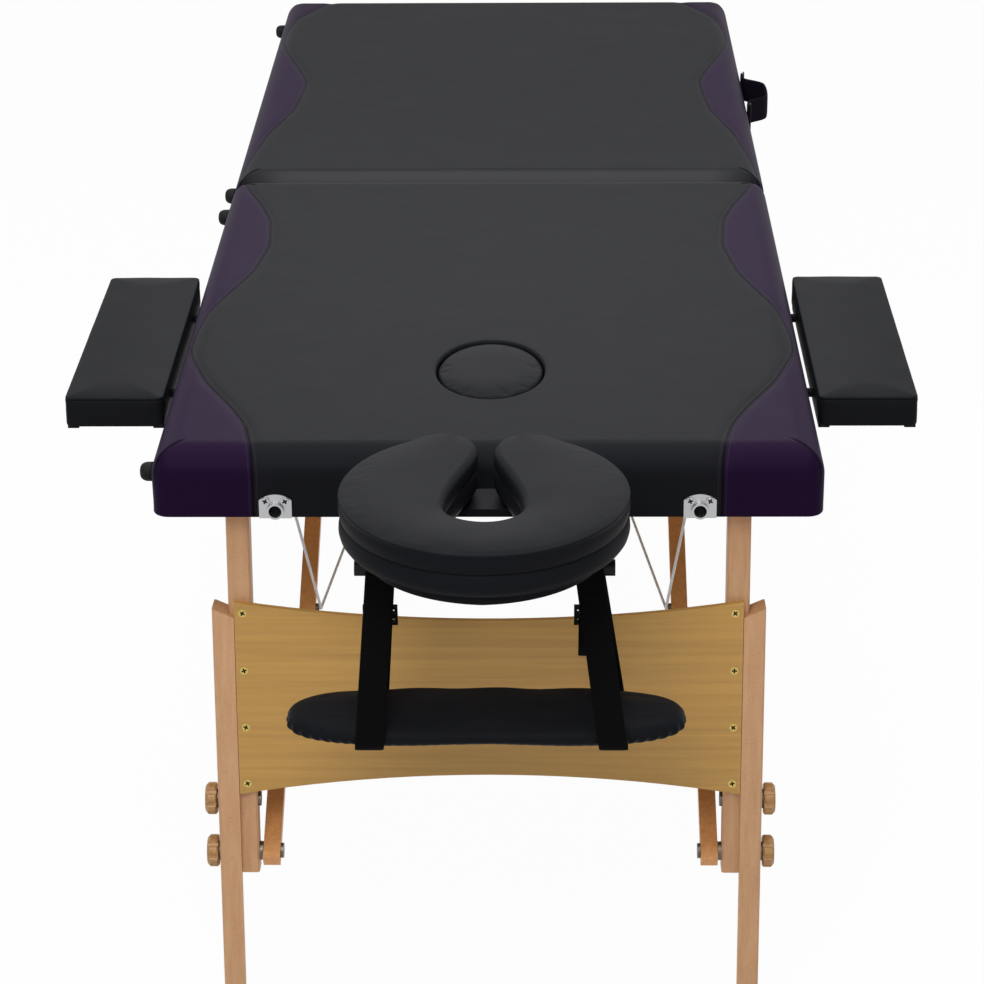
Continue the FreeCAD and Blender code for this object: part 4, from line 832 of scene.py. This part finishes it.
def horseshoe(half_x, half_y, stations):
    """The headrest's closed outline, its middle line, its outward normals and how far each point is outer.

    Half of it is an ellipse that turns in at the lobe's round tip, and a keyhole line back from there along
    neck and waist to the round front of the face opening. Points of both lines that are an equal share of
    the way to the tip have one point of the middle line between them; near the tip that point stays put."""
    tip, lobe_width, ease = (0.031, 0.1445), 0.034, 1.6
    opening_radius, opening_y = 0.037, -0.033
    turn = np.linspace(-0.5 * np.pi, math.radians(58.0), 40)
    outer = [(half_x * math.cos(angle), half_y * math.sin(angle)) for angle in turn]
    outer += [(0.060, 0.1435), (0.045, 0.1465), tip]
    front = np.linspace(-0.5 * np.pi, math.radians(-8.0), 16)
    inner = [(opening_radius * math.cos(angle), opening_y + opening_radius * math.sin(angle))
             for angle in front]
    inner += [(0.0355, -0.012), (0.030, 0.016), (0.021, 0.048), (0.011, 0.080), (0.0068, 0.104),
              (0.010, 0.124), (0.018, 0.137), tip]
    inside = smooth_line(inner, stations, ease)
    outside = smooth_line(outer, stations, ease)
    line = (inside + outside) / 2
    last = np.flatnonzero(np.linalg.norm(outside - inside, axis=1) > lobe_width)[-1]
    line[last:] = line[last]
    flip = np.array([-1.0, 1.0])
    loop = np.vstack([outside, inside[-2::-1], inside[1:] * flip, outside[-2:0:-1] * flip])
    middle = np.vstack([line, line[-2::-1], line[1:] * flip, line[-2:0:-1] * flip])
    ahead = np.roll(loop, -1, axis=0) - np.roll(loop, 1, axis=0)
    normal = unit(np.column_stack([ahead[:, 1], -ahead[:, 0]]))
    share = 0.5 * np.linspace(0.0, 1.0, stations) ** 6
    outerness = np.concatenate([1.0 - share, share[-2::-1], share[1:], 1.0 - share[-2:0:-1]])
    return loop, middle, normal, outerness


def headrest_layer(name, node, profile, reach, seed):
    """One layer of the headrest, then filled. Each row of its profile is (share of the way to the middle
    line, inset of the inner and outer edge, level at the inner and outer edge, sewn)."""
    centre = np.array([0.0, TUBE_Y + 0.001])
    loop, middle, normal, outerness = horseshoe(0.139, 0.152, 90)
    rows = []
    for share, insets, levels, _ in profile:
        inset = insets[0] * (1 - outerness) + insets[1] * outerness
        level = levels[0] * (1 - outerness) + levels[1] * outerness
        plan = (loop - normal * inset[:, None]) * (1 - share) + middle * share
        rows.append(ring(plan, centre, level))
    points = np.stack(rows)
    top = points[..., 2].max()
    points[..., 2] += 0.0006 * ripples(points, 0.08, seed) * (points[..., 2] > top - 0.004)
    sewn = [row[3] for row in profile]
    piece = filled_cushion(name, points, sewn, reach, "headrest", node)


def headrest_top():
    """The boxed upper cushion: upright sides, a bead along the outer top edge, a roll along the inner one
    and a flat crowned top."""
    bottom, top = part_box("headrest_base")[1].z - 0.0006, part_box("headrest_cushion")[1].z
    rise = top - bottom
    roll_radius, bead_radius, rim = 0.009, 0.0013, (0.011, 0.0055)
    profile = [(share, (0.003, 0.003), (bottom, bottom), 1.0) for share in np.linspace(1.0, 0.0, 8)]
    profile.append((0.0, (0.0016, 0.0016), (bottom + 0.0018, bottom + 0.0018), 1.0))
    foot = bottom + 0.004
    for share in np.linspace(0.0, 1.0, 9):
        inset = 0.001 * (1 - math.sin(np.pi * share))
        levels = (foot + (0.6 * rise - 0.005) * share, foot + (rise - 0.010) * share)
        profile.append((0.0, (inset * (1 - share), inset), levels, 0.0))
    for share in np.linspace(0.0, 1.0, 8)[1:]:
        roll = 0.5 * np.pi * share
        turn = 2.7 - 2.4 * share
        insets = (roll_radius * (1 - math.cos(roll)), 0.0014 - bead_radius * math.sin(turn))
        levels = (top - 0.4 * rise * (1 - math.sin(roll)), top - 0.0030 + bead_radius * math.cos(turn))
        profile.append((0.0, insets, levels, 1.0))
    profile.append((0.0, (0.010, 0.0028), (top, top - 0.0014), 1.0))
    profile.append((0.0, rim, (top + 0.0002, top - 0.0002), 0.0))
    for share in np.linspace(0.0, 1.0, 16)[1:]:
        level = top + 0.0016 * crown(share)
        profile.append((share, rim, (level, level), 0.0))
    headrest_layer("headrest_top_cushion", "headrest_cushion", profile, 0.0022, 31)


def headrest_low():
    """The lower cushion: fuller below the seam, then rounded in towards the board under it."""
    low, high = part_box("headrest_base")
    rise = high.z - low.z
    # Share of the height, inset
    section = ((0.0, 0.018), (0.1, 0.009), (0.22, 0.0038), (0.36, 0.0010), (0.5, 0.0), (0.64, 0.0002),
               (0.78, 0.0010), (0.9, 0.0022), (1.0, 0.0034))
    profile = [(share, (0.0144, 0.018), (low.z, low.z), 1.0) for share in np.linspace(1.0, 0.0, 8)[:-1]]
    for share, inset in section:
        level = low.z + rise * share
        profile.append((0.0, (0.8 * inset, inset), (level, level), float(share in (0.0, 1.0))))
    profile += [(share, (0.003, 0.0034), (high.z, high.z), 1.0) for share in np.linspace(0.0, 1.0, 8)[1:]]
    headrest_layer("headrest_low_cushion", "headrest_base", profile, 0.002, 37)


# Bands, ropes and small pieces

def sweep(name, path, across, section, finish, closed=False):
    """A closed section carried along a path: across and the tangent's normal span it, ends drawn shut."""
    ahead = np.roll(path, -1, axis=0) - np.roll(path, 1, axis=0)
    if not closed:
        ahead[0], ahead[-1] = path[1] - path[0], path[-1] - path[-2]
    across = np.broadcast_to(across, path.shape)
    upward = unit(np.cross(across, unit(ahead)))
    points = path[:, None] + across[:, None] * section[None, :, :1] + upward[:, None] * section[None, :, 1:]
    uv = np.stack(np.broadcast_arrays(length_along(path)[:, None], length_along(section)[None]), axis=-1)
    if not closed:
        shut = [np.repeat(points[end].mean(axis=0)[None], len(section), axis=0) for end in (0, -1)]
        points = np.concatenate([shut[0][None], points, shut[1][None]])
        uv = np.concatenate([uv[:1], uv, uv[-1:]])
    return grid_object(name, points, FINISHES[finish], wrap_rows=closed, uv=uv)


def flat_section(width, thickness):
    """Section of a woven band: a flat superellipse with 20 points."""
    angle = full_turn(20)
    return np.column_stack([0.5 * width * signed_power(np.cos(angle), 0.35),
                            0.5 * thickness * signed_power(np.sin(angle), 0.7)])


def round_section(radius):
    """Section of a rope, with 12 points."""
    angle = full_turn(12)
    return radius * np.column_stack([np.cos(angle), np.sin(angle)])


def shelf_strap(side):
    """A strap loop from the cross tube down round the shelf and back, splayed a little towards the bottom."""
    width = bpy.context.scene.massage_sizes.strap_width
    shelf_low, shelf_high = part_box("arm_shelf")
    over, depth, under = 0.0096, 0.0545, shelf_low.z - 0.0012
    offset, splay = 0.100, 0.024 if side == "right" else 0.012
    turn = np.linspace(math.radians(-10.0), math.radians(190.0), 15)
    loop = [(over * math.cos(angle), TUBE_Z + over * math.sin(angle)) for angle in turn]
    down = [(depth - 0.002, shelf_high.z + 0.004), (depth, shelf_high.z - 0.008),
            (depth, shelf_low.z + 0.004), (depth - 0.008, under)]
    loop += [(-away, level) for away, level in down]
    loop += reversed(down)
    line = rounded_path(loop, True, 0.003)
    fall = (TUBE_Z - line[:, 1]) / (TUBE_Z - shelf_low.z)
    aside = SIDES[side] * (offset + splay * np.clip(fall, 0.0, 1.0))
    path = np.column_stack([aside, TUBE_Y + line[:, 0], line[:, 1]])
    piece = sweep("shelf_strap_" + side, path, ALONG_X, flat_section(width, 0.0021), "webbing", closed=True)
    finish_piece(piece, "arm_shelf", "webbing", "shelf_straps")


def strap_tail(side):
    """The strap's loose end: it leaves the buckle, lies along the strap and curls away at its tip."""
    width = 0.96 * bpy.context.scene.massage_sizes.strap_width
    low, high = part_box("strap_buckles")
    start = np.array([high.y + 0.001 - TUBE_Y, low.z + 0.004])
    steps = np.array([(-0.004, 0.012), (0.0, 0.0), (0.007, -0.016), (0.016, -0.036), (0.027, -0.052)])
    line = rounded_path(start + steps, False, 0.003)
    path = np.column_stack([np.full(len(line), SIDES[side] * 0.104), TUBE_Y + line[:, 0], line[:, 1]])
    piece = sweep("strap_tail_" + side, path, ALONG_X, flat_section(width, 0.0020), "webbing")
    finish_piece(piece, "arm_shelf", "webbing")


def carry_loop():
    """The carry handle: a band that leaves the skirt, stands out in a rounded trapezoid and comes back."""
    low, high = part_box("carry_handle")
    middle = (low.y + high.y) / 2
    half, inner, outer = (high.y - low.y) / 2, low.x + 0.0017, high.x - 0.0085
    rear = [(outer, 0.026), (outer - 0.006, 0.040), (inner + 0.001, half - 0.030), (inner, half - 0.018),
            (inner, half)]
    front = [(away, -along) for away, along in reversed(rear)]
    line = rounded_path(front + rear, False, 0.003)
    path = np.column_stack([line[:, 0], middle + line[:, 1], np.full(len(line), (low.z + high.z) / 2)])
    section = flat_section(0.88 * (high.z - low.z), 0.0034)
    piece = sweep("carry_loop", path, ALONG_Z, section, "handle_webbing")
    finish_piece(piece, "foot_section", "webbing", "carry_handle")


def handle_plate(name, end):
    """A plate that clamps one end of the handle: a rounded slab with an eased front edge."""
    low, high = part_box("carry_handle")
    half_y, half_z, corner, count = 0.0055, (high.z - low.z) / 2, 0.0025, 60
    middle = np.array([high.y - half_y if end > 0 else low.y + half_y, (low.z + high.z) / 2])
    back = low.x + 0.0032
    ease, thick = 0.0006, 0.002
    rows = []
    for scale, inset, x in ((0.0, 0.0, back), (1.0, 0.0, back), (1.0, 0.0, back + thick - ease),
                            (1.0, ease, back + thick), (0.0, 0.0, back + thick)):
        plan = scale * slab_outline(count, half_y, half_z, corner, inset) + middle
        rows.append(np.column_stack([np.full(count, x), plan]))
    piece = grid_object("handle_plate_" + name, np.stack(rows), FINISHES["plastic"])
    finish_piece(piece, "foot_section", "plastic")


def bumper_domes(half):
    """Rubber stops on the left side: turned domes, each a quarter ellipse spun about the x axis."""
    low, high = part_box(half + "_bumpers")
    radius = (high.z - low.z) / 2
    turn = np.linspace(0.0, 0.5 * np.pi, 10)
    away = np.concatenate([[0.0, 0.0], 0.4 + 0.6 * np.sin(turn)]) * (high.x - low.x)
    reach = np.concatenate([[0.0, 1.0], np.cos(turn) ** 0.6]) * radius
    angle = full_turn(40)
    for index, place in enumerate((low.y + radius, high.y - radius)):
        rows = [np.column_stack([np.full(len(angle), high.x - out), place + size * np.cos(angle),
                                 (low.z + high.z) / 2 + size * np.sin(angle)])
                for out, size in zip(away, reach)]
        piece = grid_object(f"{half}_bumper_{index + 1}", np.stack(rows), FINISHES["rubber"])
        finish_piece(piece, half + "_section", "rubber", half + "_bumpers")


def brace_cable(half, side):
    """Two tight lengths of steel rope from the deck to the brace's eye.

    They start from the foremost and the rearmost of the CAD cable's highest points on that side, and both
    end at its lowest."""
    radius = bpy.context.scene.massage_sizes.cable_radius
    reach, corners = 2.2 * radius, 6
    places = vertex_array(NODES[half + "_cables"].data)
    places = places[places[:, 0] * SIDES[side] > 0]
    high = places[places[:, 2] > places[:, 2].max() - reach]
    order = np.argsort(high[:, 1])
    near, far = high[order[:corners]].mean(axis=0), high[order[-corners:]].mean(axis=0)
    eye = places[places[:, 2] < places[:, 2].min() + reach].mean(axis=0)
    for index, anchor in enumerate((near, far)):
        line = np.linspace(anchor, eye, 60)
        piece = sweep(f"{half}_cable_{side}_{index + 1}", line, ALONG_X, round_section(radius), "cable")
        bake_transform(piece)
        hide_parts(half + "_cables")


def panel_screw_places(node, face):
    """The middle of each panel screw's face: the node's points are told apart by side and by level."""
    apart, head_depth = 0.02, 0.0009
    places = vertex_array(NODES[node].data)
    found = []
    for side in SIDES.values():
        column = places[places[:, 0] * side > 0]
        column = column[np.argsort(column[:, 2])]
        for screw in np.split(column, np.flatnonzero(np.diff(column[:, 2]) > apart) + 1):
            out = face * screw[:, 1]
            head = screw[out > out.max() - head_depth]
            found.append((head.max(axis=0) + head.min(axis=0)) / 2)
    return found


def socket_screw_places():
    """The middle of each socket screw's face, from the points of the sockets close to its axis."""
    head_radius = 0.0043
    places = vertex_array(NODES["head_sockets"].data)
    found = []
    for side in SIDES.values():
        for across in SOCKET_SCREW_X:
            near = np.hypot(places[:, 0] - side * across, places[:, 2] - SOCKET_SCREW_Z) < head_radius
            found.append(np.array([side * across, places[near, 1].min(), SOCKET_SCREW_Z]))
    return found


def cross_recesses(node, places, face, lean):
    """Cross recesses on screw heads in painted shade, each a dark plus sign of twelve corners, turned further from
    one screw to the next. face is the side the heads look to along y, lean the slope of their faces."""
    arm, slim = 0.0027, 0.0008
    plus = np.array([(slim, slim), (slim, arm), (-slim, arm), (-slim, slim), (-arm, slim), (-arm, -slim),
                     (-slim, -slim), (-slim, -arm), (slim, -arm), (slim, -slim), (arm, -slim), (arm, slim)])
    proud, sunk = 0.0003, -0.0004
    first_turn, next_turn = 0.5, 0.7
    for index, place in enumerate(places):
        turn = first_turn + next_turn * index
        plan = plus @ np.array([[math.cos(turn), math.sin(turn)], [-math.sin(turn), math.cos(turn)]])
        rows = []
        for scale, depth in ((0.0, proud), (1.0, proud), (1.0, sunk), (0.0, sunk)):
            up = scale * plan[:, 1]
            rows.append(np.column_stack([scale * plan[:, 0], face * (depth - up * math.sin(lean)),
                                         up * math.cos(lean)]))
        piece = grid_object(f"{node}_recess_{index + 1}", np.stack(rows) + place, FINISHES["recess"])
        piece.data.polygons.foreach_set("use_smooth", np.zeros(len(piece.data.polygons), bool))
        finish_piece(piece, body_of_node(node), "steel")


# Stage

def seen_share(tree):
    """1 for rays from the camera, mirrors and glass, 0 for all others."""
    rays = add_node(tree, "ShaderNodeLightPath").outputs
    seen = calculate(tree, "ADD", rays["Is Camera Ray"], rays["Is Glossy Ray"])
    return calculate(tree, "ADD", seen, rays["Is Transmission Ray"], use_clamp=True)


def make_floor():
    """A pale floor that shows white to the camera and to mirrors, and still takes the table's shadow."""
    size, glow_share = 14.0, 0.97
    material = bpy.data.materials.new("white paper floor")
    material.use_nodes = True
    tree = material.node_tree
    tree.nodes.clear()
    share = calculate(tree, "MULTIPLY", seen_share(tree), glow_share)
    paper = add_node(tree, "ShaderNodeBsdfDiffuse", {"Color": linear("f4f4f4")}).outputs[0]
    glow = add_node(tree, "ShaderNodeEmission", {"Color": WHITE, "Strength": 1.0}).outputs[0]
    both = add_node(tree, "ShaderNodeMixShader", {0: share, 1: paper, 2: glow}).outputs[0]
    add_node(tree, "ShaderNodeOutputMaterial", {"Surface": both})
    corners = size * np.array([[[-1.0, -1.0, 0.0], [1.0, -1.0, 0.0]], [[-1.0, 1.0, 0.0], [1.0, 1.0, 0.0]]])
    floor = grid_object("floor", corners, material, wrap_columns=False)


def make_world():
    """An even grey sky for light, and white to the camera and to mirrors."""
    grey = 0.28
    world = bpy.data.worlds.new("studio")
    bpy.context.scene.world = world
    world.use_nodes = True
    tree = world.node_tree
    tree.nodes.clear()
    level = remap(tree, seen_share(tree), low=grey, high=1.0)
    sky = add_node(tree, "ShaderNodeBackground", {"Color": WHITE, "Strength": level}).outputs[0]
    add_node(tree, "ShaderNodeOutputWorld", {"Surface": sky})


def make_light(name, place, aim, size, power):
    """A square soft light at place, turned to face aim."""
    lamp = bpy.data.lights.new(name, "AREA")
    lamp.size = size
    lamp.energy = power
    light = bpy.data.objects.new(name, lamp)
    light.location = place
    light.rotation_euler = (Vector(aim) - Vector(place)).to_track_quat("-Z", "Y").to_euler()
    bpy.context.collection.objects.link(light)


def make_camera():
    """The photograph's view: a long lens in front of the head end, looking down and a little left."""
    tilt, yaw, roll = math.radians(22.91), math.radians(-1.004), math.radians(-0.434)
    view = bpy.data.cameras.new("camera")
    view.sensor_width = 36.0
    view.lens = 114.01
    camera = bpy.data.objects.new("camera", view)
    turn = Euler((0.0, 0.0, -yaw)).to_matrix() @ Euler((0.5 * math.pi - tilt, 0.0, 0.0)).to_matrix()
    camera.rotation_euler = (turn @ Euler((0.0, 0.0, roll)).to_matrix()).to_euler()
    camera.location = (0.0552, -3.6689, 1.8257)
    bpy.context.collection.objects.link(camera)
    bpy.context.scene.camera = camera


# Add-on

class TableOperator:
    """What all operators of this table share."""

    bl_options = {"REGISTER", "UNDO"}

    def execute(self, context):
        self.build()
        return {"FINISHED"}


class MASSAGE_OT_finishes(TableOperator, bpy.types.Operator):
    """Makes every finish and gives the wood, metal and rubber pieces theirs"""

    bl_idname = "massage.finishes"
    bl_label = "Finishes"

    def build(self):
        FINISHES.update(make_finishes())
        dress_nodes()


class MASSAGE_OT_covers(TableOperator, bpy.types.Operator):
    """Sews the two-tone covers of both table halves"""

    bl_idname = "massage.covers"
    bl_label = "Table covers"

    def build(self):
        for half in HALVES:
            table_cover(half)


class MASSAGE_OT_cushions(TableOperator, bpy.types.Operator):
    """Fills the headrest, armrests, arm shelf and face plug"""

    bl_idname = "massage.cushions"
    bl_label = "Cushions"

    def build(self):
        headrest_top()
        headrest_low()
        for side in SIDES:
            armrest_wrap(side)
        shelf_cushion()
        plug_cushion()


class MASSAGE_OT_straps(TableOperator, bpy.types.Operator):
    """Weaves the shelf straps and the carry handle"""

    bl_idname = "massage.straps"
    bl_label = "Straps and handle"

    def build(self):
        for side in SIDES:
            shelf_strap(side)
        strap_tail("right")
        carry_loop()
        handle_plate("front", -1)
        handle_plate("rear", 1)


class MASSAGE_OT_fittings(TableOperator, bpy.types.Operator):
    """Paints shade into the screws' recesses, sets the rubber stops and strings the brace cables"""

    bl_idname = "massage.fittings"
    bl_label = "Screws, stops and cables"

    def build(self):
        for half, face in HALVES.items():
            node = half + "_panel_screws"
            cross_recesses(node, panel_screw_places(node, face), face, SPLAY)
        cross_recesses("head_sockets", socket_screw_places(), HALVES["head"], 0.0)
        for half in HALVES:
            bumper_domes(half)
            for side in SIDES:
                brace_cable(half, side)


class MASSAGE_OT_stage(TableOperator, bpy.types.Operator):
    """Lays the floor and sets the lights and the camera"""

    bl_idname = "massage.stage"
    bl_label = "Stage"

    def build(self):
        make_floor()
        make_world()
        for light in LIGHTS:
            make_light(*light)
        make_camera()
        bpy.context.scene.view_settings.view_transform = "Standard"


class MASSAGE_PT_panel(bpy.types.Panel):
    """Lists the table's pieces, sizes and colours"""

    bl_label = "Folding massage table"
    bl_idname = "MASSAGE_PT_panel"
    bl_space_type = "VIEW_3D"
    bl_region_type = "UI"
    bl_category = "Massage table"

    def draw(self, context):
        column = self.layout.column()
        for operator in OPERATORS:
            column.operator(operator.bl_idname)
        for group in (context.scene.massage_sizes, context.scene.massage_colours):
            for name in group.__annotations__:
                column.prop(group, name)


OPERATORS = (MASSAGE_OT_finishes, MASSAGE_OT_covers, MASSAGE_OT_cushions, MASSAGE_OT_straps,
             MASSAGE_OT_fittings, MASSAGE_OT_stage)
CLASSES = (MassageTableSizes, MassageTableColours, *OPERATORS, MASSAGE_PT_panel)


def register():
    """Adds the classes and the scene's two property groups."""
    for entry in CLASSES:
        bpy.utils.register_class(entry)
    bpy.types.Scene.massage_sizes = PointerProperty(type=MassageTableSizes)
    bpy.types.Scene.massage_colours = PointerProperty(type=MassageTableColours)


def unregister():
    """Takes them away again."""
    del bpy.types.Scene.massage_colours
    del bpy.types.Scene.massage_sizes
    for entry in reversed(CLASSES):
        bpy.utils.unregister_class(entry)


def main():
    """Builds the whole scene."""
    register()
    bpy.ops.massage.finishes()
    bpy.ops.massage.covers()
    bpy.ops.massage.cushions()
    bpy.ops.massage.straps()
    bpy.ops.massage.fittings()
    bpy.ops.massage.stage()


if __name__ == "__main__":
    main()
